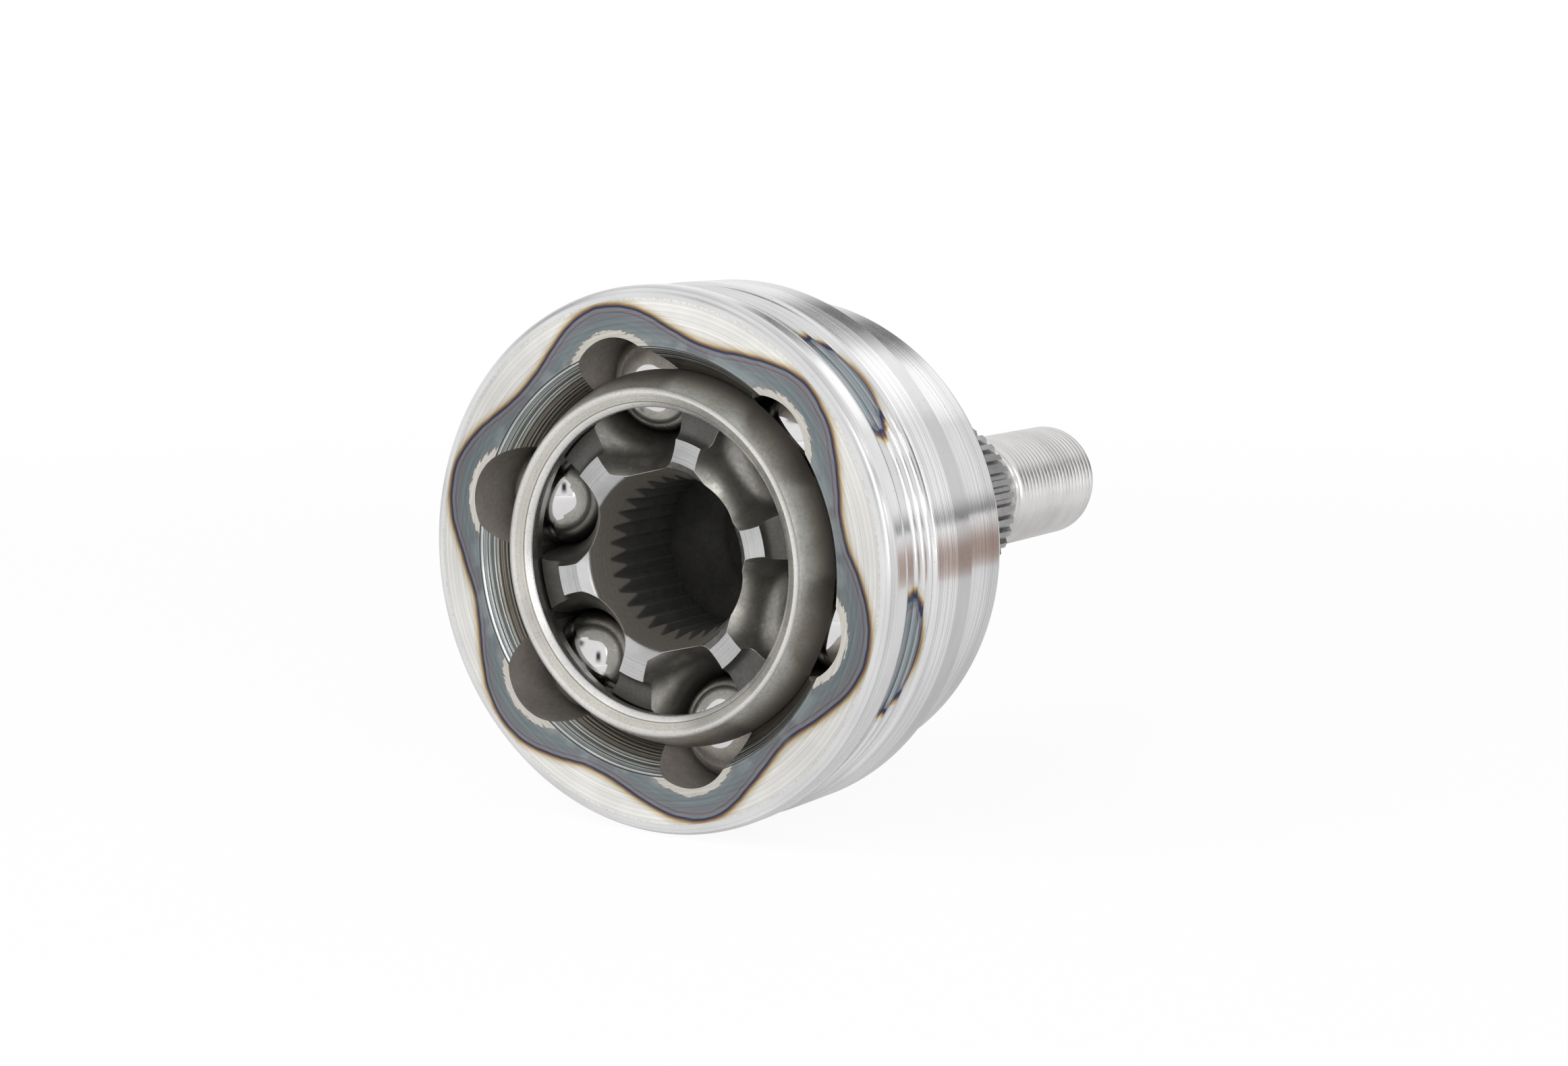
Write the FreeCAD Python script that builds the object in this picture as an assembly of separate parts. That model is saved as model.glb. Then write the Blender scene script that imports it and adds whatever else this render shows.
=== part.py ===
"""Outboard fixed ball constant-velocity joint: bell with its stub axle, cage, inner race and six balls.

Millimetres. The joint centre is the origin, the shaft line is Y, the bell's mouth faces -Y and +Z is up.
"""

import FreeCAD
import Part

import math
import os

# Joint geometry
BALL_R = 17.462 / 2
BALL_COUNT = 6
FIRST_BALL_DEG = 43.5
TRACK_R = 30.0
TRACK_OFFSET = 4.6
MAX_ARTICULATION_DEG = 45.0

# Running clearances
SPHERE_CLEARANCE = 0.05
BELL_TRACK_CLEARANCE = 0.12
RACE_TRACK_CLEARANCE = 0.35
WINDOW_AXIAL_CLEARANCE = 0.36
WINDOW_SIDE_PLAY = 1.57

# Bell, lengths measured back from the face of its mouth
MOUTH_TO_CENTRE = 15.3
BELL_R = 45.2
BELL_CORNER_R = 2.0
MOUTH_R = 35.4
LEAD_IN_DEG = 33.0
SEAT_START = 5.3
SEAT_LENGTH = 9.1
SEAT_DEPTH = 0.9
SEAT_RIDGES = 3
SEAT_RIDGE_PITCH = 2.25
SEAT_RIDGE_WIDTH = 0.9
SEAT_RIDGE_DROP = 0.5
STEP_AT = 26.4
REAR_BAND_R = 41.3
REAR_BAND_END = 44.5
REAR_CORNER_R = 1.5
SHOULDER_AT = 58.0
SHOULDER_R = 27.0
SHOULDER_CHAMFER = 1.0
CAVITY_FLOOR_AT = 44.3
SHAFT_RELIEF_R = 14.0
SHAFT_RELIEF_DEPTH = 2.5

# Stub axle, lengths measured back from the face of the bell's mouth
HUB_SPLINE_TEETH = 40
HUB_SPLINE_TIP_R = 16.2
HUB_SPLINE_TOOTH = 1.15
HUB_SPLINE_START = 63.0
HUB_SPLINE_END = 98.8
HUB_SPLINE_CHAMFER = 1.2
HUB_SPLINE_TIP_SHARE = 0.42
HUB_SPLINE_SPACE_SHARE = 0.30
ROOT_FILLET_R = 2.5
THREAD_R = 11.0
THREAD_START = 112.0
THREAD_END = 143.8
THREAD_CHAMFER = 1.0
THREAD_PITCH = 1.5
THREAD_DEPTH = 0.92
NECK_R = 9.8
NECK_CHAMFER = 1.2
NECK_FILLET_R = 2.0

# Cage
CAGE_OUTER_R = 32.65
CAGE_WALL = 4.4
CAGE_LIP = 2.85
CAGE_FRONT = 15.9
CAGE_REAR = 14.6
CAGE_DISH = 1.9
CAGE_BEVEL = 0.6
CAGE_BEVEL_WIDTH = 0.8
CAGE_REAR_CHAMFER = 0.6
WINDOW_CORNER_R = 3.0

# Inner race, lengths measured from the joint centre
RACE_LAND = 10.8
RACE_HUB = 12.9
RACE_HUB_R = 20.7
RACE_HUB_FILLET_R = 1.7
RACE_EDGE_CHAMFER = 0.4
BORE_EDGE_R = 15.2
BORE_BEVEL_R = 16.85
BORE_BEVEL_DEPTH = 1.55
SHAFT_SPLINE_TEETH = 31
SHAFT_SPLINE_TIP_R = 12.7
SHAFT_SPLINE_TOOTH = 1.05
SHAFT_SPLINE_SPACE_SHARE = 0.10
SHAFT_SPLINE_CREST_SHARE = 0.14
SHAFT_CONE_DEG = 19.8
SHAFT_REAR_BEVEL = 1.4

# Worked out from the sizes above
BELL_TRACK_BORE_R = BALL_R + BELL_TRACK_CLEARANCE
RACE_TRACK_BORE_R = BALL_R + RACE_TRACK_CLEARANCE
BALL_CENTRE_R = math.sqrt(TRACK_R ** 2 - TRACK_OFFSET ** 2)
BELL_SPHERE_R = CAGE_OUTER_R + SPHERE_CLEARANCE
CAGE_INNER_R = CAGE_OUTER_R - CAGE_WALL
CAGE_MOUTH_R = CAGE_INNER_R - CAGE_LIP
RACE_SPHERE_R = CAGE_INNER_R - SPHERE_CLEARANCE
WINDOW_HALF_HEIGHT = BALL_R + WINDOW_AXIAL_CLEARANCE
WINDOW_HALF_LENGTH = BALL_R + WINDOW_SIDE_PLAY
FACE_Y = -MOUTH_TO_CENTRE
REACH = 2 * BELL_R

ORIGIN = FreeCAD.Vector(0, 0, 0)
SHAFT_AXIS = FreeCAD.Vector(0, 1, 0)
UP = FreeCAD.Vector(0, 0, 1)


def at(radius, y):
    """A point of a half section, given its radius and its place along the shaft line."""
    return FreeCAD.Vector(radius, y, 0)


def behind_face(radius, depth):
    """A point of the bell's half section, given its depth behind the face of the mouth."""
    return at(radius, FACE_Y + depth)


def line(start, end):
    return Part.LineSegment(start, end).toShape()


def arc(start, middle, end):
    return Part.Arc(start, middle, end).toShape()


def corner_arc(centre, radius, from_deg, to_deg):
    """An arc of a half section about a centre, with the angles measured from the radial direction."""
    def point(degrees):
        angle = math.radians(degrees)
        return centre + at(radius * math.cos(angle), radius * math.sin(angle))
    return arc(point(from_deg), point((from_deg + to_deg) / 2), point(to_deg))


def chain(items):
    """Edges of a half section. Points are joined by straight lines, and edges are kept as they are."""
    edges = []
    last = None
    for item in items:
        is_edge = isinstance(item, Part.Shape)
        start = item.Vertexes[0].Point if is_edge else item
        if last is not None and last.distanceToPoint(start) > 1e-6:
            edges.append(line(last, start))
        if is_edge:
            edges.append(item)
        last = item.Vertexes[-1].Point if is_edge else item
    return edges


def turned(items):
    """The solid turned about the shaft line from a half section, which closes along that line."""
    edges = chain(items)
    edges.append(line(edges[-1].Vertexes[-1].Point, edges[0].Vertexes[0].Point))
    face = Part.Face(Part.Wire(Part.__sortEdges__(edges)))
    return face.revolve(ORIGIN, SHAFT_AXIS, 360)


def placed_around(shape, degrees):
    """A copy of a shape turned about the shaft line, from +X towards +Z."""
    copy = shape.copy()
    copy.rotate(ORIGIN, SHAFT_AXIS, -degrees)
    return copy


def ball_angles():
    step = 360 / BALL_COUNT
    return [FIRST_BALL_DEG + step * index for index in range(BALL_COUNT)]


def sphere_depth(sphere_r, radius):
    """How far along the shaft line a centred sphere has the given radius."""
    return math.sqrt(sphere_r ** 2 - radius ** 2)


def track_run(bore_r, centre_y, from_deg, to_deg):
    """The path of a ball as a solid: a round section carried on an arc about the track's centre.

    The angles start at the widest place of the track and grow towards +Y.
    """
    middle = at(TRACK_R, centre_y)
    section = Part.Face(Part.Wire(Part.Circle(middle, SHAFT_AXIS, bore_r).toShape()))
    pivot = at(0, centre_y)
    section.rotate(pivot, UP, from_deg)
    return section.revolve(pivot, UP, to_deg - from_deg)


def track_end(bore_r, centre_y, degrees):
    """The round end that a ball-nosed cutter leaves where a track stops inside the bell."""
    angle = math.radians(degrees)
    centre = at(TRACK_R * math.cos(angle), centre_y + TRACK_R * math.sin(angle))
    return Part.makeSphere(bore_r, centre)


def toothed_bar(teeth, tip_r, root_r, tip_share, root_share, start_y, length):
    """A straight-sided spline as one bar along the shaft line.

    A tooth takes tip_share of the pitch at its tip, and the space takes root_share of it at the root.
    """
    pitch = 2 * math.pi / teeth
    points = []
    for index in range(teeth):
        middle = pitch * index
        tip = tip_share * pitch / 2
        root = (1 - root_share) * pitch / 2
        for angle, radius in ((-root, root_r), (-tip, tip_r), (tip, tip_r), (root, root_r)):
            x = radius * math.cos(middle + angle)
            z = radius * math.sin(middle + angle)
            points.append(FreeCAD.Vector(x, start_y, z))
    points.append(points[0])
    face = Part.Face(Part.makePolygon(points))
    return face.extrude(SHAFT_AXIS * length)


def boot_seat():
    """The clamp seat on the bell's front: a flat shallow band with low round ridges towards its rear."""
    bottom = BELL_R - SEAT_DEPTH
    half = SEAT_RIDGE_WIDTH / 2
    end = SEAT_START + SEAT_LENGTH
    items = [behind_face(BELL_R, SEAT_START), behind_face(bottom, SEAT_START)]
    for steps_left in reversed(range(SEAT_RIDGES)):
        middle = end - 1.5 * half - SEAT_RIDGE_PITCH * steps_left
        top = behind_face(BELL_R - SEAT_RIDGE_DROP, middle)
        items.append(arc(behind_face(bottom, middle - half), top, behind_face(bottom, middle + half)))
    return items + [behind_face(bottom, end), behind_face(BELL_R, end)]


def bell_outline():
    """The half section of the bell's outside and the stub axle, from the mouth to the thread's end."""
    step_y = FACE_Y + STEP_AT
    corner = behind_face(BELL_R - BELL_CORNER_R, BELL_CORNER_R)
    rear_corner = behind_face(REAR_BAND_R - REAR_CORNER_R, REAR_BAND_END - REAR_CORNER_R)
    shaft_r = HUB_SPLINE_TIP_R - HUB_SPLINE_TOOTH
    root_centre = behind_face(shaft_r + ROOT_FILLET_R, SHOULDER_AT + ROOT_FILLET_R)
    items = [at(0, FACE_Y), corner_arc(corner, BELL_CORNER_R, -90, 0)]
    items += boot_seat()
    items += [at(BELL_R, step_y), at(REAR_BAND_R, step_y)]
    items += [corner_arc(rear_corner, REAR_CORNER_R, 0, 45)]
    dome_start = items[-1].Vertexes[-1].Point
    dome_end = behind_face(SHOULDER_R, SHOULDER_AT - SHOULDER_CHAMFER)
    bulge = (dome_start + dome_end) * 0.5 + at(1, 1) * SHOULDER_CHAMFER
    items += [arc(dome_start, bulge, dome_end)]
    items += [behind_face(SHOULDER_R - SHOULDER_CHAMFER, SHOULDER_AT)]
    items += [corner_arc(root_centre, ROOT_FILLET_R, -90, -180)]
    items += [behind_face(shaft_r, HUB_SPLINE_END)]
    items += stub_end(shaft_r)
    return items


def stub_end(shaft_r):
    """The half section behind the hub spline: a shoulder, the neck and the threaded end."""
    neck_start = HUB_SPLINE_END + NECK_FILLET_R
    fillet = behind_face(NECK_R + NECK_FILLET_R, neck_start)
    return [
        corner_arc(fillet, NECK_FILLET_R, -90, -180),
        behind_face(NECK_R, THREAD_START - NECK_CHAMFER),
        behind_face(THREAD_R, THREAD_START),
        behind_face(THREAD_R, THREAD_END - THREAD_CHAMFER),
        behind_face(THREAD_R - THREAD_CHAMFER, THREAD_END),
        behind_face(0, THREAD_END),
    ]


def hub_spline():
    """The toothed part of the stub axle, its teeth bevelled at both ends."""
    root_r = HUB_SPLINE_TIP_R - HUB_SPLINE_TOOTH
    start_y = FACE_Y + HUB_SPLINE_START
    length = HUB_SPLINE_END - HUB_SPLINE_START
    shares = (HUB_SPLINE_TIP_SHARE, HUB_SPLINE_SPACE_SHARE)
    bar = toothed_bar(HUB_SPLINE_TEETH, HUB_SPLINE_TIP_R, root_r, *shares, start_y, length)
    bevel = HUB_SPLINE_CHAMFER
    envelope = turned([
        at(0, start_y),
        at(root_r, start_y),
        at(HUB_SPLINE_TIP_R, start_y + 2 * bevel),
        at(HUB_SPLINE_TIP_R, start_y + length - bevel),
        at(HUB_SPLINE_TIP_R - bevel, start_y + length),
        at(0, start_y + length),
    ])
    return bar.common(envelope)


def thread_space():
    """The space between the turns of the right-handed thread, open past both ends of it.

    Its section is a flat-bottomed V of 60 degrees that stands a little proud of the thread's tips.
    """
    proud = THREAD_PITCH / 15
    slope = math.tan(math.radians(30))
    mouth = THREAD_PITCH * 7 / 16
    section = [
        FreeCAD.Vector(THREAD_R - THREAD_DEPTH, 0, mouth - THREAD_DEPTH * slope),
        FreeCAD.Vector(THREAD_R + proud, 0, mouth + proud * slope),
        FreeCAD.Vector(THREAD_R + proud, 0, -mouth - proud * slope),
        FreeCAD.Vector(THREAD_R - THREAD_DEPTH, 0, THREAD_DEPTH * slope - mouth),
    ]
    start = THREAD_START - NECK_CHAMFER - THREAD_PITCH
    length = THREAD_END - start + THREAD_PITCH
    path = Part.makeHelix(THREAD_PITCH, length, THREAD_R - THREAD_DEPTH)
    outline = Part.makePolygon(section + section[:1])
    space = Part.Wire(path.Edges).makePipeShell([outline], True, True)
    space.rotate(ORIGIN, FreeCAD.Vector(1, 0, 0), -90)
    space.translate(SHAFT_AXIS * (FACE_Y + start))
    return space


def bell_cavity():
    """The inside of the bell before its tracks: lead-in cone, the cage's sphere, floor and relief."""
    slope = math.tan(math.radians(LEAD_IN_DEG))
    # The cone meets the sphere where (MOUTH_R - slope * depth) squared plus the rest equals the sphere's.
    a = slope ** 2 + 1
    b = -2 * (MOUTH_R * slope + MOUTH_TO_CENTRE)
    c = MOUTH_R ** 2 + MOUTH_TO_CENTRE ** 2 - BELL_SPHERE_R ** 2
    depth = (-b - math.sqrt(b ** 2 - 4 * a * c)) / (2 * a)
    floor_y = FACE_Y + CAVITY_FLOOR_AT
    floor_r = sphere_depth(BELL_SPHERE_R, floor_y)
    cone_end = behind_face(MOUTH_R - slope * depth, depth)
    start = math.degrees(math.atan2(cone_end.y, cone_end.x))
    end = math.degrees(math.atan2(floor_y, floor_r))
    return turned([
        at(0, FACE_Y - 1),
        at(MOUTH_R + slope, FACE_Y - 1),
        corner_arc(ORIGIN, BELL_SPHERE_R, start, end),
        at(SHAFT_RELIEF_R, floor_y),
        at(SHAFT_RELIEF_R - SHAFT_RELIEF_DEPTH, floor_y + SHAFT_RELIEF_DEPTH),
        at(0, floor_y + SHAFT_RELIEF_DEPTH),
    ])


def outer_race():
    """Bell and stub axle, forged and machined as one piece, with six tracks in its spherical bore."""
    body = turned(bell_outline()).cut(thread_space()).fuse(hub_spline())
    body = body.cut(bell_cavity())
    rest = math.degrees(math.asin(TRACK_OFFSET / TRACK_R))
    rear_end = rest + MAX_ARTICULATION_DEG / 2 + 7
    run = track_run(BELL_TRACK_BORE_R, -TRACK_OFFSET, -50, rear_end)
    end = track_end(BELL_TRACK_BORE_R, -TRACK_OFFSET, rear_end)
    tracks = [placed_around(tool, angle) for angle in ball_angles() for tool in (run, end)]
    return body.cut(tracks).removeSplitter()


def cage_window():
    """The tool for one ball window: a rounded opening along +X, through the cage's wall."""
    half_y = WINDOW_HALF_HEIGHT
    half_z = WINDOW_HALF_LENGTH
    inner_x = CAGE_MOUTH_R / 2
    block = Part.makeBox(REACH, 2 * half_y, 2 * half_z, FreeCAD.Vector(inner_x, -half_y, -half_z))
    along_x = [edge for edge in block.Edges if abs(edge.tangentAt(edge.FirstParameter).x) > 0.5]
    return block.makeFillet(WINDOW_CORNER_R, along_x)


def cage():
    """The ball cage: a spherical shell open at both ends, with a dished front ring and six windows."""
    bevel_r = sphere_depth(CAGE_OUTER_R, CAGE_FRONT) - CAGE_BEVEL
    bevel_y = -sphere_depth(CAGE_OUTER_R, bevel_r + CAGE_BEVEL_WIDTH)
    rear_r = sphere_depth(CAGE_OUTER_R, CAGE_REAR) - CAGE_REAR_CHAMFER
    rear_y = sphere_depth(CAGE_OUTER_R, rear_r + 2 * CAGE_REAR_CHAMFER)
    front = math.degrees(math.atan2(bevel_y, bevel_r + CAGE_BEVEL_WIDTH))
    rear = math.degrees(math.atan2(rear_y, rear_r + 2 * CAGE_REAR_CHAMFER))
    mouth_y = sphere_depth(CAGE_INNER_R, CAGE_MOUTH_R)
    opening = math.degrees(math.atan2(mouth_y, CAGE_MOUTH_R))
    shell = turned([
        at(bevel_r, -CAGE_FRONT),
        corner_arc(ORIGIN, CAGE_OUTER_R, front, rear),
        at(rear_r, CAGE_REAR),
        at(CAGE_MOUTH_R, CAGE_REAR),
        corner_arc(ORIGIN, CAGE_INNER_R, opening, -opening),
        at(CAGE_MOUTH_R, CAGE_DISH - CAGE_FRONT),
    ])
    windows = [placed_around(cage_window(), angle) for angle in ball_angles()]
    return shell.cut(windows)


def race_blank():
    """The inner race before its tracks and bore: a trimmed sphere with a raised hub on the front."""
    chamfer = RACE_EDGE_CHAMFER
    land_r = sphere_depth(RACE_SPHERE_R, RACE_LAND) - chamfer
    edge_r = land_r + chamfer * 2
    edge = math.degrees(math.atan2(sphere_depth(RACE_SPHERE_R, edge_r), edge_r))
    fillet = at(RACE_HUB_R + RACE_HUB_FILLET_R, -RACE_LAND - RACE_HUB_FILLET_R)
    return turned([
        at(0, -RACE_HUB),
        at(RACE_HUB_R, -RACE_HUB),
        corner_arc(fillet, RACE_HUB_FILLET_R, 180, 90),
        at(land_r, -RACE_LAND),
        corner_arc(ORIGIN, RACE_SPHERE_R, -edge, edge),
        at(land_r, RACE_LAND),
        at(0, RACE_LAND),
    ])


def race_bore():
    """The inside of the inner race: the toothed bore, its long front cone and the bevels at both ends."""
    root_r = SHAFT_SPLINE_TIP_R + SHAFT_SPLINE_TOOTH
    teeth = SHAFT_SPLINE_TEETH
    length = RACE_HUB + RACE_LAND + 2
    # The spaces between the bore's teeth are the teeth of this tool.
    shares = (SHAFT_SPLINE_SPACE_SHARE, SHAFT_SPLINE_CREST_SHARE)
    spline = toothed_bar(teeth, root_r, SHAFT_SPLINE_TIP_R, *shares, -RACE_HUB - 1, length)
    slope = math.tan(math.radians(SHAFT_CONE_DEG))
    cone_start = -RACE_HUB + BORE_BEVEL_DEPTH
    cone_end = cone_start + (BORE_EDGE_R - SHAFT_SPLINE_TIP_R) / slope
    front = turned([
        at(0, -RACE_HUB - 1),
        at(BORE_BEVEL_R, -RACE_HUB - 1),
        at(BORE_BEVEL_R, -RACE_HUB),
        at(BORE_EDGE_R, cone_start),
        at(SHAFT_SPLINE_TIP_R, cone_end),
        at(0, cone_end),
    ])
    rear_r = root_r + SHAFT_REAR_BEVEL - SHAFT_SPLINE_TOOTH
    rear = turned([
        at(0, RACE_LAND - SHAFT_REAR_BEVEL),
        at(SHAFT_SPLINE_TIP_R, RACE_LAND - SHAFT_REAR_BEVEL),
        at(rear_r, RACE_LAND),
        at(rear_r, RACE_LAND + 1),
        at(0, RACE_LAND + 1),
    ])
    return spline.fuse([front, rear])


def inner_race():
    """The inner race: six tracks on its sphere and the splined bore for the drive shaft."""
    run = track_run(RACE_TRACK_BORE_R, TRACK_OFFSET, -56, 45)
    tracks = [placed_around(run, angle) for angle in ball_angles()]
    return race_blank().cut(tracks).cut(race_bore())


def ball(angle):
    centre = placed_around(Part.Vertex(at(BALL_CENTRE_R, 0)), angle).Point
    return Part.makeSphere(BALL_R, centre)


def main():
    parts = {"outer_race": outer_race(), "cage": cage(), "inner_race": inner_race()}
    for number, angle in enumerate(ball_angles(), start=1):
        parts["ball_%d" % number] = ball(angle)
    os.makedirs("parts", exist_ok=True)
    for name, shape in parts.items():
        solids = shape.Solids
        print(name, "solids", len(solids), "valid", shape.isValid(), "volume %.1f" % shape.Volume)
        shape.exportStep("parts/%s.step" % name)


main()
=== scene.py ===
"""Looks of a fixed ball constant-velocity joint: bell with stub axle, cage, inner race and six balls."""

import math
from types import SimpleNamespace

import bmesh
import bpy
import numpy as np
from mathutils import Matrix, Vector


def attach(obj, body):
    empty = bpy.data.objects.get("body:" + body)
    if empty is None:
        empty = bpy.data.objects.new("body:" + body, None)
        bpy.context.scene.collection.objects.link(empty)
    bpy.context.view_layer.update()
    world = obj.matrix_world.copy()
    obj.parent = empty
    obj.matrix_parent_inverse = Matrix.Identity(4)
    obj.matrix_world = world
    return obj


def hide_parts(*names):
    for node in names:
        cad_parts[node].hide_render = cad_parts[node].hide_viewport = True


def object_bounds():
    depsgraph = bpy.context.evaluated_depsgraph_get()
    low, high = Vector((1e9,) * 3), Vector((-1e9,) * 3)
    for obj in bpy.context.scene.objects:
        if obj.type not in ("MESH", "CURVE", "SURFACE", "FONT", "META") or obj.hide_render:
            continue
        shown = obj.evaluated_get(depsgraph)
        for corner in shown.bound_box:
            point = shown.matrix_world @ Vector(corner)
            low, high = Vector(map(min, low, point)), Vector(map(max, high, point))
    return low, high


bl_info = {
    "name": "Ball joint dresser",
    "version": (1, 0, 0),
    "blender": (4, 5, 0),
    "location": "3D View > Sidebar > Ball joint",
    "description": "Machined surfaces and finishes for a fixed ball constant-velocity joint",
    "category": "Object",
}

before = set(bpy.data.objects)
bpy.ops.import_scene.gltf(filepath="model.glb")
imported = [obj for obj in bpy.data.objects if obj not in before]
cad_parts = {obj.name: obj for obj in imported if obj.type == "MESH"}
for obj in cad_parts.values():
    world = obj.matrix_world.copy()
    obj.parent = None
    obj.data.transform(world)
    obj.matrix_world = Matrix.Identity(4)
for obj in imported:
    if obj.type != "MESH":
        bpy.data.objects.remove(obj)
CAD_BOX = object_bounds()

# Sizes in millimetres, in the part's own axes: y runs along the shaft line and the joint's centre is at 0.
MM = 0.001
BALLS = 6
FIRST_BALL = math.radians(43.5)
SECTOR = math.radians(60)
MIDDLES = FIRST_BALL + SECTOR * np.arange(BALLS)
TRACK_R = 30.0
TRACK_OFFSET = 4.6
BALL_R = 8.731
BELL_BORE_R = 8.851
RACE_BORE_R = 9.081
TRACK_END = math.asin(TRACK_OFFSET / TRACK_R) + math.radians(29.5)
# Bell, from the face to the flange.
FACE_Y = -15.3
MOUTH_R = 35.4
BELL_R = 45.2
SEAT_R = 44.3
SHOULDER_R = 41.3
FLANGE_Y = 42.7
FINE_BAND = (6.2, -0.6)
REAR_BAND = (27.4, 11.4)
SEAT_RIDGES = (-1.575, -3.825, -6.075)
BELL_SPHERE_R = 32.70
CAVITY_Y = 29.0
LEAD_IN = math.tan(math.radians(33))
TRACK_COLS, LAND_COLS = 27, 17
# Cage; the window's half length, half width and corner.
CAGE_OUTER_R = 32.65
CAGE_INNER_R = 28.25
CAGE_MOUTH_R = 25.4
CAGE_FRONT_Y = -15.9
CAGE_REAR_Y = 14.6
WINDOW = (9.091, 10.301, 3.0)
# Inner race; the bore's edge as radius and y, and the slope of its front cone.
RACE_SPHERE_R = 28.20
RACE_LAND = 10.8
RACE_HUB = 12.9
HUB_R = 20.7
BEVEL_R = 16.85
BORE_EDGE = (15.2, -11.35)
BORE_CONE = math.tan(math.radians(19.8))
BORE_RING_R = 14.2
REAR_BEVEL_Y = 9.4
SHAFT_TEETH = 31
SHAFT_TIP_R = 12.7
SHAFT_ROOT_R = 13.75
# Stub axle.
STUB_TEETH = 40
STUB_TIP_R = 16.2
STUB_ROOT_R = 15.05
STUB_TEETH_Y = (47.7, 83.5)
NECK_R = 9.8
THREAD_R = 11.0
THREAD_Y = (95.5, 128.5)

# The face's tint: the radius of its outer line and how far that swells at each track.
TINT_R, TINT_SWELL = 39.78, 2.6
# Along the shaft line: the tone of the bell's outside, with painted shade just behind the step at y 11, and how
# strongly the painted shade in its grooves shows.
BAND_TONES_AND_SHADE = [(-15.4, 0.90), (-10.2, 0.90), (-10.0, 0.84), (-1.0, 0.84), (-0.8, 1.0), (6.2, 1.0), (6.3, 0.68),
              (10.7, 0.70), (10.8, 0.62), (14.0, 0.72), (20.0, 0.92), (27.4, 0.82)]
BAND_GROOVE_SHADE = [(-15.4, 0.42), (-13.4, 0.42), (-12.8, 0.1), (-10.0, 0.0), (-1.0, 0.0), (-0.8, 0.55),
                (6.2, 0.55), (6.3, 0.05), (10.7, 0.05), (10.9, 0.2), (20.0, 0.28), (24.0, 0.5), (27.4, 0.5)]


# ---------------------------------------------------------------- numbers
def run(start, end, count):
    """Evenly spaced points of a half section, from (radius, y) to (radius, y)."""
    share = np.linspace(0, 1, count)[:, None]
    return np.array(start) * (1 - share) + np.array(end) * share


def bend(centre, radius, from_deg, to_deg, count):
    """Points on an arc of a half section: the centre plus the radius times cosine and sine of the angle."""
    angle = np.radians(np.linspace(from_deg, to_deg, count))
    return np.stack([centre[0] + radius * np.cos(angle), centre[1] + radius * np.sin(angle)], 1)


def through(a, b, c, count):
    """Points on the arc through three points of a half section, found from its centre."""
    a, b, c = (np.array(p, float) for p in (a, b, c))
    m = np.array([b - a, c - b]) * 2
    centre = np.linalg.solve(m, [b @ b - a @ a, c @ c - b @ b])
    ends = [math.atan2(*(p - centre)[::-1]) for p in (a, c)]
    return bend(centre, np.linalg.norm(a - centre), math.degrees(ends[0]), math.degrees(ends[1]), count)


def solve(value, low, high, steps=44):
    """Where a rising function of whole arrays crosses zero, by halving the interval between low and high."""
    low, high = np.array(low, float), np.array(high, float)
    for _ in range(steps):
        middle = (low + high) / 2
        under = value(middle) < 0
        low, high = np.where(under, middle, low), np.where(under, high, middle)
    return (low + high) / 2


def track_gap(x, y, z, centre_y, bore_r, end=4.0):
    """Distance from a ball's path, less the track's section radius.

    The path is an arc of TRACK_R about (0, centre_y) in the plane z = 0. Past its end angle the distance is
    measured from the path's last point, which gives the track the round end of a ball-nosed cutter.
    """
    height = y - centre_y
    beside = np.abs(np.hypot(x, height) - TRACK_R)
    past = np.hypot(x - TRACK_R * math.cos(end), height - TRACK_R * math.sin(end))
    return np.hypot(np.where(np.arctan2(height, x) <= end, beside, past), z) - bore_r


def track_edge(r, y, centre_y, bore_r, end=4.0):
    """The angle on each side of a track's middle at which a turned surface of radius r meets the track."""
    def gap(angle):
        return track_gap(r * np.cos(angle), y, r * np.sin(angle), centre_y, bore_r, end)
    return solve(gap, np.zeros_like(r), np.full_like(r, SECTOR / 2))


def round_shaft(r, angle, y):
    """Points in the part's own axes from radius, angle about the shaft line and place along it."""
    r, angle, y = np.broadcast_arrays(r, angle, y)
    return np.stack([r * np.cos(angle), y, r * np.sin(angle)], -1)


def sectors(angle):
    """Angles of one ball's sector, repeated for all balls round the shaft line."""
    return (MIDDLES[:, None] + np.asarray(angle)[..., None, :]).reshape(*np.shape(angle)[:-1], -1)


def scallops(count, depth, per):
    """Shares along a band and the dips of a round-nosed tool: depth times one minus the square of 2u - 1."""
    share = np.linspace(0, 1, count * per + 1)
    place = (share * count) % 1.0
    return share, depth * (1 - (2 * place - 1) ** 2)


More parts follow.
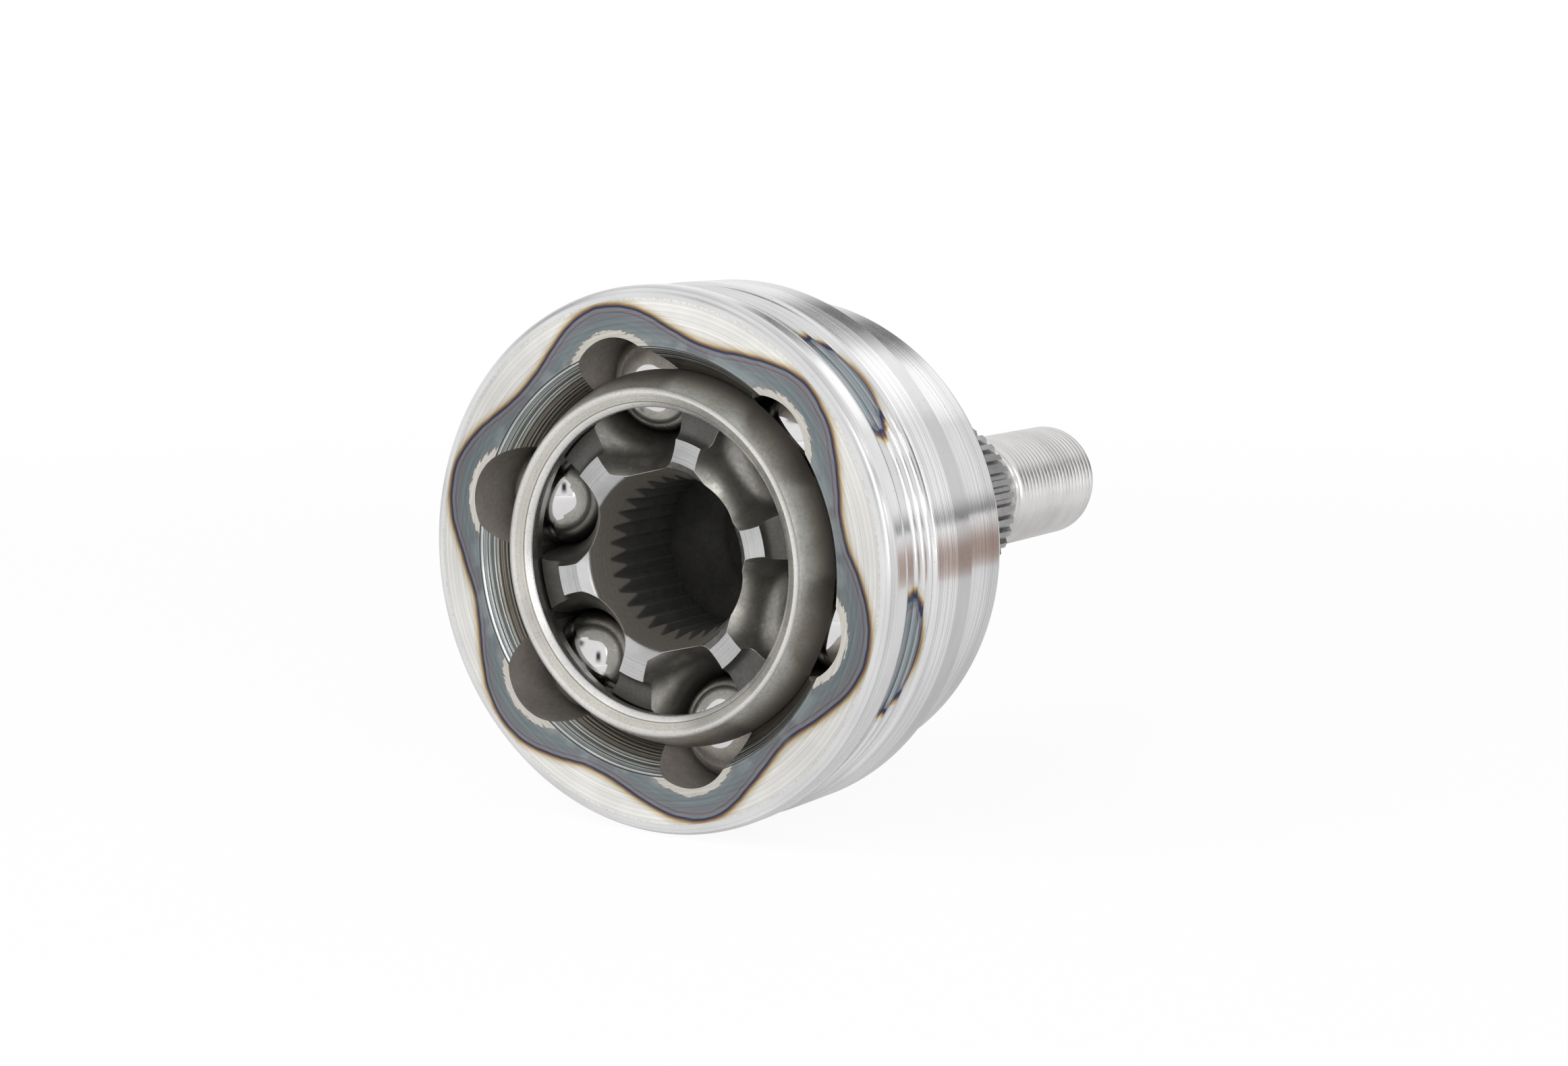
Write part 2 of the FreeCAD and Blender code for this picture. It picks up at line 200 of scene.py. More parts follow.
# ---------------------------------------------------------------- meshes
class Shell:
    """Grids and strips in millimetres, welded into one closed mesh with a finish for each face."""

    def __init__(self):
        self.points, self.faces, self.finish, self.count = [], [], [], 0

    def add(self, points, faces, finish):
        self.points.append(points.reshape(-1, 3))
        self.faces.append(faces + self.count)
        self.finish.append(np.broadcast_to(finish, len(faces)))
        self.count += len(self.points[-1])

    def grid(self, points, finish=0, ring=True):
        """Corner i, j of the grid is joined to its right, upper and upper right neighbours."""
        rows, cols = points.shape[:2]
        i = np.arange(rows - 1)[:, None]
        j = np.arange(cols if ring else cols - 1)[None, :]
        k = (j + 1) % cols
        faces = np.stack([i * cols + j, i * cols + k, (i + 1) * cols + k, (i + 1) * cols + j], -1)
        finish = np.asarray(finish)
        if finish.ndim == 1:
            finish = np.repeat(finish, j.size)
        self.add(points, faces.reshape(-1, 4), finish.ravel() if finish.ndim else finish)

    def turned(self, outline, angle, finish):
        """A half section of (radius, y) carried round the shaft line."""
        self.grid(round_shaft(outline[:, :1], angle, outline[:, 1:]), finish)

    def zip_rings(self, first, second, finish=0):
        """Triangles between two rings with unlike counts of corners.

        The steps of both rings are sorted by angle, and each step makes one triangle with the corner that the
        other ring has reached.
        """
        rings = []
        for ring in (first, second):
            angle = np.arctan2(ring[:, 2], ring[:, 0]) % (2 * math.pi)
            rings.append((ring[np.argsort(angle)], np.sort(angle)))
        (a, ta), (b, tb) = rings
        steps = [(turn + np.append(turn[1:], turn[0] + 2 * math.pi)) / 2 for turn in (ta, tb)]
        order = np.argsort(np.concatenate(steps), kind="stable")
        is_a = order < len(a)
        at_a = np.cumsum(is_a) - is_a
        at_b = np.cumsum(~is_a) - ~is_a
        here_a, here_b = at_a % len(a), at_b % len(b) + len(a)
        next_a, next_b = (at_a + 1) % len(a), (at_b + 1) % len(b) + len(a)
        third = np.where(is_a, next_a, next_b)
        faces = np.stack([here_a, here_b, third, third], -1)
        self.add(np.concatenate([a, b]), faces, finish)

    def build(self, name, finishes, body, crease=38, edge=0.0):
        """Makes the object: corners that coincide are welded and the faces are turned outwards."""
        points = np.concatenate(self.points) * MM
        faces = np.concatenate(self.faces)
        finish = np.concatenate(self.finish).astype(np.int32)
        triangle = faces[:, 2] == faces[:, 3]
        sizes = np.where(triangle, 3, 4)
        corners = faces[np.arange(4)[None, :] < sizes[:, None]]
        mesh = bpy.data.meshes.new(name)
        mesh.vertices.add(len(points))
        mesh.vertices.foreach_set("co", points.astype(np.float32).ravel())
        mesh.loops.add(len(corners))
        mesh.loops.foreach_set("vertex_index", corners.astype(np.int32))
        mesh.polygons.add(len(faces))
        mesh.polygons.foreach_set("loop_start", np.concatenate([[0], np.cumsum(sizes)[:-1]]).astype(np.int32))
        mesh.polygons.foreach_set("material_index", finish)
        mesh.update(calc_edges=True)
        work = bmesh.new()
        work.from_mesh(mesh)
        bmesh.ops.remove_doubles(work, verts=work.verts, dist=2e-6)
        bmesh.ops.dissolve_degenerate(work, edges=work.edges, dist=1e-7)
        bmesh.ops.recalc_face_normals(work, faces=work.faces)
        open_edges = sum(not e.is_manifold for e in work.edges)
        if open_edges:
            raise RuntimeError(f"{name} has {open_edges} open edges")
        if work.calc_volume(signed=True) < 0:
            bmesh.ops.reverse_faces(work, faces=work.faces)
        work.to_mesh(mesh)
        work.free()
        for finish_name in finishes:
            mesh.materials.append(bpy.data.materials[finish_name])
        mesh.polygons.foreach_set("use_smooth", np.ones(len(mesh.polygons), bool))
        mesh.set_sharp_from_angle(angle=math.radians(crease))
        piece = bpy.data.objects.new(name, mesh)
        bpy.context.scene.collection.objects.link(piece)
        if edge:
            broken = piece.modifiers.new("Broken edges", "BEVEL")
            broken.width = edge * MM
            broken.segments = 2
            broken.limit_method = "ANGLE"
            broken.angle_limit = math.radians(max(crease, 48))
            broken.harden_normals = True
        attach(piece, body)
        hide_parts(body)


# ---------------------------------------------------------------- bell
def bell_columns(edge, even):
    """Angles of a sector's columns: the track's crowd to its edges as a sine, the land's are evenly spread."""
    sine = np.sin(np.linspace(-1, 1, TRACK_COLS) * math.radians(75)) / math.sin(math.radians(75))
    straight = np.linspace(-1, 1, TRACK_COLS)
    track = (sine * (1 - even) + straight * even) * edge
    land = edge + (SECTOR - 2 * edge) * np.linspace(0, 1, LAND_COLS)[1:-1]
    return np.concatenate([track, land], -1)


def even_columns():
    return bell_columns(np.array([[SECTOR / 2 * (TRACK_COLS - 1) / (TRACK_COLS + LAND_COLS - 2)]]), 1.0)


def ridge_points(middle):
    """A round ridge of the clamp seat: its height is a squared cosine of the place across it."""
    across = np.linspace(0.5, -0.5, 11)
    return np.column_stack([SEAT_R + 0.42 * np.cos(across * math.pi) ** 2, middle + across])


def bell_outside(look):
    """The turned outside from the stub's root to the face's outer edge, as rows of (radius, y, finish)."""
    parts = []

    def band(points, finish):
        parts.append(np.column_stack([points, np.full(len(points), finish)]))

    def grooved(radius, ends, depth, per):
        share, dip = scallops(14, depth, per)
        band(run((radius, ends[0]), (radius, ends[1]), len(share)) - np.outer(dip, (1, 0)), 1)

    band([(0, 48.2), (14.0, 48.2), (14.0, 45.3)], 5)
    band(bend((17.55, FLANGE_Y + 2.5), 2.5, 180, 270, 9), 1)
    band(run((17.6, FLANGE_Y), (26.0, FLANGE_Y), 5), 1)
    band(through((27.0, 41.7), (34.93, 36.23), (40.861, 28.761), 18), 5)
    band(bend((SHOULDER_R - 1.5, 27.7), 1.5, 38, 0, 6), 1)
    grooved(SHOULDER_R, REAR_BAND, look.fine_depth * 0.5, 4)
    band([(SHOULDER_R, 11.1), (BELL_R - 0.3, 11.1), (BELL_R, 10.8)], 1)
    band(run((BELL_R, 10.0), (BELL_R, 6.4), 3), 1)
    grooved(BELL_R, FINE_BAND, look.fine_depth, 5)
    band([(45.0, -0.78), (44.5, -1.02)], 2)
    for ridge in SEAT_RIDGES:
        band(ridge_points(ridge), 2)
    band([(SEAT_R, -6.8), (SEAT_R, -8.4), (SEAT_R, -9.85), (BELL_R - 0.1, -10.0)], 2)
    band(run((BELL_R, -10.15), (BELL_R, -13.0), 4), 1)
    band(bend((BELL_R - 2, FACE_Y + 2), 2.0, 0, -90, 9), 1)
    return np.concatenate(parts)


def cone_depth():
    """How deep the lead-in cone meets the bore's sphere: the root of the two surfaces' shared radius."""
    a = LEAD_IN ** 2 + 1
    b = -2 * (MOUTH_R * LEAD_IN - FACE_Y)
    c = MOUTH_R ** 2 + FACE_Y ** 2 - BELL_SPHERE_R ** 2
    return (-b - math.sqrt(b * b - 4 * a * c)) / (2 * a)


def bell_inside(look):
    """The mouth and the bore with its six tracks.

    Rows are places along the lead-in cone and the sphere. A column on the land takes that turned radius, and a
    column in a track takes the radius at which its ray leaves the track's tube.
    """
    depth = cone_depth()
    share, dip = scallops(10, look.cone_depth, 5)
    cone = run((MOUTH_R, FACE_Y), (MOUTH_R - LEAD_IN * depth, FACE_Y + depth), len(share))
    cone[:, 0] += dip
    probe = np.linspace(0.6, 0.9, 400)
    opened = track_edge(BELL_SPHERE_R * np.cos(probe), BELL_SPHERE_R * np.sin(probe),
                        -TRACK_OFFSET, BELL_BORE_R, TRACK_END)
    stop = probe[np.argmax(opened < math.radians(2.5))]
    latitude = np.concatenate([
        np.linspace(math.asin((FACE_Y + depth) / BELL_SPHERE_R), 0.45, 20)[1:],
        0.45 + (stop - 0.45) * np.sin(np.linspace(0, math.pi / 2, 18))[1:]])
    sphere = np.stack([BELL_SPHERE_R * np.cos(latitude), BELL_SPHERE_R * np.sin(latitude)], 1)
    rows = np.vstack([cone, sphere])
    r, y = rows[:, :1], rows[:, 1:]
    edge = track_edge(r, y, -TRACK_OFFSET, BELL_BORE_R, TRACK_END)
    local = bell_columns(edge, 0.0)
    column = np.arange(local.shape[1])
    inner = (column > 0) & (column < TRACK_COLS - 1)

    def leave(radius):
        return track_gap(radius * np.cos(local), y, radius * np.sin(local),
                         -TRACK_OFFSET, BELL_BORE_R, TRACK_END)
    wall = solve(leave, np.broadcast_to(r - 0.5, local.shape), np.broadcast_to(r + 12, local.shape))
    radius = np.where(inner, wall, r)
    body = round_shaft(np.tile(radius, BALLS), sectors(local), y)
    end_angles = sectors(local[-1:])
    even = sectors(even_columns())
    share = np.linspace(0, 1, 6)[1:, None]
    floor_lat = math.asin(CAVITY_Y / BELL_SPHERE_R)
    lat = latitude[-1] + (floor_lat - latitude[-1]) * share
    closing = round_shaft(BELL_SPHERE_R * np.cos(lat), end_angles * (1 - share) + even * share,
                          BELL_SPHERE_R * np.sin(lat))
    floor = np.array([(14.0, CAVITY_Y), (11.5, 31.5), (6.0, 31.5), (0.0, 31.5)])
    floor = round_shaft(floor[:, :1], even, floor[:, 1:])
    land = np.concatenate([np.full(len(cone) - 1, 3), np.full(len(sphere), 4)])
    finish = np.where(column < TRACK_COLS - 1, 4, land[:, None])
    return body, np.tile(finish, BALLS), np.concatenate([body[-1:], closing, floor])


def make_bell(look):
    shell = Shell()
    outside = bell_outside(look)
    even = sectors(even_columns())
    shell.turned(outside[:, :2], even, outside[1:, 2])
    body, finish, rest = bell_inside(look)
    rim_x, _, rim_z = body[0].T
    turn = (np.arctan2(rim_z, rim_x) - even[0] + math.pi) % (2 * math.pi) - math.pi
    share = np.linspace(0, 1, 16)[:, None]
    outer_r = outside[-1, 0]
    face = round_shaft(outer_r + (np.hypot(rim_x, rim_z) - outer_r) * share, even + turn * share ** 1.5, FACE_Y)
    shell.grid(face, 0)
    shell.grid(body, finish)
    shell.grid(rest, 6)
    shell.build("bell", ("tinted face", "turned bands", "clamp seat", "lead-in cone", "track satin",
                         "turned back", "shaded cavity"), "outer_race", edge=look.edge_break)


# ---------------------------------------------------------------- stub axle
def make_stub(look):
    """Spline, neck and thread.

    The spline's radius is the smaller of the tooth's profile round the shaft and the bevelled envelope along
    it. The thread's rows climb one pitch in a full turn, so that crest and root stay sharp.
    """
    shell = Shell()
    places = np.array([-0.35, -0.29, -0.21, 0.0, 0.21, 0.29, 0.35, 0.5])
    heights = np.array([0.0, 0.5, 1.0, 1.0, 1.0, 0.5, 0.0, 0.0])
    pitch = 2 * math.pi / STUB_TEETH
    angle = (pitch * (np.arange(STUB_TEETH)[:, None] + places)).ravel()
    height = np.tile(heights, STUB_TEETH)
    tip, root = STUB_TIP_R, STUB_ROOT_R
    start, end = STUB_TEETH_Y
    plain = np.array([(0, 43.6), (root, 43.6), (root, start)])
    shell.turned(plain, angle, 0)
    along = np.concatenate([start + np.linspace(0, 2.4, 7), [56, 66, 76], end - np.linspace(1.2, 0, 6)])
    rise, fall = (along - start) / 2.4, (end - along) / 1.2
    envelope = root + (tip - root) * np.minimum(np.minimum(rise, fall), 1)
    radius = np.minimum(root + (tip - root) * height, envelope[:, None])
    shell.grid(round_shaft(radius, angle, along[:, None]), 0)
    low, high = THREAD_Y
    neck = np.vstack([[(root, end), (NECK_R + 2.1, end)], bend((NECK_R + 2, end + 2.0), 2.0, 270, 180, 9),
                      [(NECK_R, 90.0), (NECK_R, low)]])
    shell.turned(neck, angle, 1)
    lead = look.thread_pitch
    phases = np.array([0.0, 0.07, 0.375, 0.44, 0.5, 0.56, 0.625, 0.93])
    depths = np.array([0.0, 0.0, 0.92, 0.99, 1.0, 0.99, 0.92, 0.0]) * 0.6134 * lead
    turns = int((high - low) / lead) + 3
    closed = np.append(angle, angle[0] + 2 * math.pi)
    climb = (np.arange(turns)[:, None] + phases).ravel()[:, None] + (closed - angle[0]) / (2 * math.pi)
    raw = low + lead * (climb - 1)
    deep = np.tile(depths, turns)[:, None]
    y = np.clip(raw, low, high)
    chamfer = np.minimum(NECK_R + (y - low), THREAD_R - 1 + (high - y))
    r = np.where((raw > low) & (raw < high), np.minimum(THREAD_R - deep, chamfer), chamfer)
    shell.grid(round_shaft(r, closed, y), 2, ring=False)
    tail = np.array([(THREAD_R - 1, high), (6.0, high), (0.0, high)])
    shell.turned(tail, angle, 1)
    shell.build("stub_axle", ("spline steel", "turned back", "thread steel"), "outer_race",
                crease=30)


# ---------------------------------------------------------------- cage
def window_loop(grow):
    """The window's rim as a closed loop of (y, z), starting at the middle of the side towards +Y."""
    half_y, half_z, corner = WINDOW[0] + grow, WINDOW[1] + grow, WINDOW[2] + grow
    flat_y, flat_z = half_y - corner, half_z - corner
    quarter = np.linspace(0, math.pi / 2, 9)
    straight_z = np.linspace(0, flat_z, 8)
    straight_y = np.linspace(flat_y, 0, 7)
    y = np.concatenate([np.full(8, half_y), flat_y + corner * np.cos(quarter[1:]), straight_y[1:]])
    z = np.concatenate([straight_z, flat_z + corner * np.sin(quarter[1:]), np.full(6, half_z)])
    y = np.concatenate([y, -y[::-1][1:], -y[1:], y[::-1][1:-1]])
    z = np.concatenate([z, z[::-1][1:], -z[1:], -z[::-1][1:-1]])
    return y, z


def sector_loop(front, rear, corner_at=12, half=22):
    """The sector's outer border as a closed loop of (y, angle) with as many corners as the window's rim."""
    up = np.linspace(0, 1, corner_at)
    down = np.linspace(0, 1, half - corner_at + 1)[1:]
    wide = SECTOR / 2
    angle = np.concatenate([up, np.ones(len(down))]) * wide
    reach = np.concatenate([np.ones(corner_at), 1 - down])
    angle_all = np.concatenate([angle, angle[::-1][1:], -angle[1:], -angle[::-1][1:-1]])
    reach_all = np.concatenate([reach, -reach[::-1][1:], -reach[1:], reach[::-1][1:-1]])
    y = np.where(reach_all > 0, reach_all * rear, reach_all * -front)
    return y, angle_all


def make_cage(look):
    """A spherical shell with six windows.

    In each sector the points run in straight shares from the window's rim to the sector's border, in angle and
    y, and are set on the sphere. The window's wall is ruled between the rims on both spheres.
    """
    shell = Shell()
    bevel_r = math.sqrt(CAGE_OUTER_R ** 2 - CAGE_FRONT_Y ** 2) - 0.6
    bevel_y = -math.sqrt(CAGE_OUTER_R ** 2 - (bevel_r + 0.8) ** 2)
    rear_r = math.sqrt(CAGE_OUTER_R ** 2 - CAGE_REAR_Y ** 2) - 0.6
    rear_y = math.sqrt(CAGE_OUTER_R ** 2 - (rear_r + 1.2) ** 2)
    mouth_y = math.sqrt(CAGE_INNER_R ** 2 - CAGE_MOUTH_R ** 2)
    hole_y, hole_z = window_loop(look.edge_break * 0.5)
    share = np.linspace(0, 1, 10)[:, None] ** 1.15
    for sphere, limits in ((CAGE_OUTER_R, (bevel_y, rear_y)), (CAGE_INNER_R, (-mouth_y, mouth_y))):
        border_y, border_angle = sector_loop(*limits)
        hole_angle = np.arcsin(hole_z / np.sqrt(sphere ** 2 - hole_y ** 2))
        y = hole_y * (1 - share) + border_y * share
        angle = hole_angle * (1 - share) + border_angle * share
        for middle in MIDDLES:
            shell.grid(round_shaft(np.sqrt(sphere ** 2 - y ** 2), angle + middle, y), 1)
    y, z = hole_y, hole_z
    inner_y, inner_z = window_loop(0.0)
    far = np.sqrt(CAGE_OUTER_R ** 2 - y ** 2 - z ** 2)
    near = np.sqrt(CAGE_INNER_R ** 2 - y ** 2 - z ** 2)
    x = np.stack([far, far - look.edge_break, near + look.edge_break, near])
    wall_y = np.stack([y, inner_y, inner_y, y])
    wall_z = np.stack([z, inner_z, inner_z, z])
    for middle in MIDDLES:
        points = round_shaft(np.hypot(x, wall_z), np.arctan2(wall_z, x) + middle, wall_y)
        shell.grid(points, 2)
    border_y, border_angle = sector_loop(-1.0, 1.0)
    line = np.sort(border_angle[border_y > 0.999])
    ring = sectors(line[None, :-1])
    front = np.vstack([run((bevel_r + 0.8, bevel_y), (bevel_r, CAGE_FRONT_Y), 4),
                       run((bevel_r - 0.05, CAGE_FRONT_Y), (CAGE_MOUTH_R + 0.95, -14.65), 8),
                       [(CAGE_MOUTH_R, -13.6), (CAGE_MOUTH_R, -mouth_y)]])
    rear = np.array([(rear_r + 1.2, rear_y), (rear_r, CAGE_REAR_Y), (27.5, CAGE_REAR_Y),
                     (CAGE_MOUTH_R + 0.2, CAGE_REAR_Y), (CAGE_MOUTH_R, CAGE_REAR_Y - 0.2),
                     (CAGE_MOUTH_R, mouth_y)])
    for outline in (front, rear):
        shell.turned(outline, ring, 0)
    shell.build("ball_cage", ("cage ring", "cage sphere", "window wall"), "cage", crease=30)


# ---------------------------------------------------------------- inner race
def tube_point(path_angle, section_angle):
    """A point on the inner race's track: out along the path, then round its section from the bottom."""
    reach = TRACK_R - RACE_BORE_R * np.cos(section_angle)
    x = reach * np.cos(path_angle)
    y = TRACK_OFFSET + reach * np.sin(path_angle)
    z = RACE_BORE_R * np.sin(section_angle)
    return x, y, z


def tube_angles(r, y, angle):
    """The path angle and the section angle of a point that lies on the track."""
    x, z = r * np.cos(angle), r * np.sin(angle)
    reach = np.hypot(x, y - TRACK_OFFSET)
    return np.arctan2(y - TRACK_OFFSET, x), np.arctan2(z, TRACK_R - reach)


def bore_front(y):
    """Radius of the bore's front at y: the bevel in front of its edge and the long cone behind it."""
    r, edge_y = BORE_EDGE
    bevel = (BEVEL_R - r) / (RACE_HUB + edge_y)
    return np.where(y < edge_y, r + (edge_y - y) * bevel, r - (y - edge_y) * BORE_CONE)


def race_outline():
    """The turned outside of the inner race from its front face to the rear edge, with a finish per row."""
    land_r = math.sqrt(RACE_SPHERE_R ** 2 - RACE_LAND ** 2) - 0.4
    edge_y = math.sqrt(RACE_SPHERE_R ** 2 - (land_r + 0.8) ** 2)
    lat = math.degrees(math.atan2(edge_y, land_r + 0.8))
    parts = [(run((BEVEL_R, -RACE_HUB), (HUB_R, -RACE_HUB), 6), 1),
             (run((HUB_R, -12.7), (HUB_R, -12.5), 2), 0),
             (bend((HUB_R + 1.7, -12.5), 1.7, 168, 90, 6), 0),
             (run((HUB_R + 2.1, -RACE_LAND), (land_r, -RACE_LAND), 5), 0),
             (bend((0, 0), RACE_SPHERE_R, -lat, lat, 26), 0),
             (np.array([(land_r, RACE_LAND)]), 0)]
    points = np.concatenate([p for p, _ in parts])
    finish = np.concatenate([np.full(len(p), f) for p, f in parts])
    return points, finish


def make_inner_race(look):
    """Hub, sphere, six tracks and the toothed bore, as patches that share their borders."""
    shell = Shell()
    middle_cols, side_cols, land_cols = 21, 5, 13
    outline, outline_finish = race_outline()
    r, y = outline[:, 0], outline[:, 1]
    edge = track_edge(r, y, TRACK_OFFSET, RACE_BORE_R)
    path, section = tube_angles(r, y, edge)
    cone_edge = track_edge(*np.array(BORE_EDGE)[:, None], TRACK_OFFSET, RACE_BORE_R)
    cone_section = tube_angles(BORE_EDGE[0], BORE_EDGE[1], cone_edge)[1][0]
    side = np.linspace(section[0], cone_section, side_cols)
    bottom = np.linspace(-cone_section, cone_section, middle_cols)
    front_section = np.concatenate([-side[:-1], bottom, side[:-1][::-1]])

    def past_bore(angle):
        x, yy, z = tube_point(angle, front_section)
        return np.hypot(x, z) - bore_front(yy)
    front_path = solve(past_bore, np.full(len(front_section), math.radians(-62)),
                       np.full(len(front_section), math.radians(-25)))
    share = front_section / section[0]
    rear_section = share * section[-1]
    rear_path = np.arcsin((RACE_LAND - TRACK_OFFSET) / (TRACK_R - RACE_BORE_R * np.cos(rear_section)))
    along = ((path - path[0]) / (path[-1] - path[0]))[:, None]
    grid_path = path[:, None] + (1 - along) * (front_path - path[0]) + along * (rear_path - path[-1])
    grid_section = share * section[:, None]
    x, yy, z = tube_point(grid_path, grid_section)
    track_r, track_angle = np.hypot(x, z), np.arctan2(z, x)
    spread = np.linspace(0, 1, land_cols)
    land_angle = edge[:, None] + (SECTOR - 2 * edge[:, None]) * spread
    side_at = slice(len(share) - side_cols, len(share))
    bevel_angle = track_angle[0, side_at]
    bevel_r, bevel_y = track_r[0, side_at], yy[0, side_at]
    bevel_land = bevel_angle[:, None] + (SECTOR - 2 * bevel_angle[:, None]) * spread
    for middle in MIDDLES:
        shell.grid(round_shaft(track_r, track_angle + middle, yy), 2, ring=False)
        shell.grid(round_shaft(r[:, None], land_angle + middle, y[:, None]), outline_finish[1:],
                   ring=False)
        shell.grid(round_shaft(bevel_r[:, None], bevel_land + middle, bevel_y[:, None]), 1, ring=False)
    centre_at = slice(side_cols - 1, side_cols - 1 + middle_cols)
    top_r = np.concatenate([track_r[0, centre_at], np.full(land_cols - 2, BORE_EDGE[0])])
    top_angle = np.concatenate([track_angle[0, centre_at], bevel_land[0, 1:-1]])
    cols = len(top_r)
    even = -SECTOR / 2 * (middle_cols - 1) / cols + SECTOR * np.arange(cols) / cols
    down = np.linspace(0, 1, 7)[:, None]
    cone_r = top_r + (BORE_RING_R + 0.15 - top_r) * down
    cone_angle = sectors(top_angle + (even - top_angle) * down)
    cone_r = np.tile(cone_r, BALLS)
    cone_y = BORE_EDGE[1] + (BORE_EDGE[0] - cone_r) / BORE_CONE
    cone = round_shaft(cone_r, cone_angle, cone_y)
    shell.grid(cone, 3)
    teeth = bore_teeth()
    shell.zip_rings(cone[-1], teeth[0], 3)
    shell.grid(teeth, 3)
    rear_r = np.concatenate([track_r[-1], np.full(land_cols - 2, r[-1])])
    rear_angle = np.concatenate([track_angle[-1], land_angle[-1, 1:-1]])
    cols = len(rear_r)
    even = -SECTOR / 2 * (len(share) - 1) / cols + SECTOR * np.arange(cols) / cols
    down = np.linspace(0, 1, 6)[:, None]
    rear = round_shaft(np.tile(rear_r + (15.4 - rear_r) * down, BALLS),
                       sectors(rear_angle + (even - rear_angle) * down), RACE_LAND)
    shell.grid(rear, 1)
    shell.zip_rings(rear[-1], teeth[-1], 1)
    shell.build("splined_race", ("race satin", "hub turned", "race track", "bore"), "inner_race",
                edge=look.edge_break)


def bore_teeth():
    """The toothed bore from the cone's ring to the rear bevel.

    Its radius is the largest of the teeth's profile round the shaft, the front cone and the rear bevel.
    """
    places = np.array([-0.5, -0.43, -0.37, -0.29, -0.21, -0.13, -0.05, 0.05, 0.13, 0.21, 0.29, 0.37, 0.43])
    heights = np.clip((0.43 - np.abs(places)) / 0.38, 0, 1)
    pitch = 2 * math.pi / SHAFT_TEETH
    angle = (pitch * (np.arange(SHAFT_TEETH)[:, None] + places)).ravel()
    profile = SHAFT_TIP_R + (SHAFT_ROOT_R - SHAFT_TIP_R) * np.tile(heights, SHAFT_TEETH)
    start, stop = (BORE_EDGE[1] + (BORE_EDGE[0] - radius) / BORE_CONE for radius in (BORE_RING_R, SHAFT_TIP_R))
    y = np.concatenate([np.linspace(start, stop + 0.3, 14), [0.0, 4.0, 8.0],
                        np.linspace(REAR_BEVEL_Y, RACE_LAND, 7)])
    cone = BORE_EDGE[0] - (y - BORE_EDGE[1]) * BORE_CONE
    bevel = SHAFT_TIP_R + (y - REAR_BEVEL_Y)
    radius = np.maximum(np.maximum(profile, cone[:, None]), bevel[:, None])
    radius[0] = BORE_RING_R
    radius[-1] = SHAFT_TIP_R + RACE_LAND - REAR_BEVEL_Y
    return round_shaft(radius, angle, y[:, None])


# ---------------------------------------------------------------- balls
def make_ball(number):
    """A sphere from longitude and latitude, its poles on the ball's own radial line."""
    shell = Shell()
    around = np.linspace(0, 2 * math.pi, 96, endpoint=False)
    over = np.linspace(0, math.pi, 49)[:, None]
    centre = MIDDLES[number - 1]
    reach = math.sqrt(TRACK_R ** 2 - TRACK_OFFSET ** 2)
    out, side = np.cos(over), np.sin(over)
    x, y, z = reach + BALL_R * out, BALL_R * side * np.cos(around), BALL_R * side * np.sin(around)
    shell.grid(np.stack([x * math.cos(centre) - z * math.sin(centre), y,
                         x * math.sin(centre) + z * math.cos(centre)], -1))
    shell.build(f"steel_ball_{number}", ("polished ball",), f"ball_{number}")


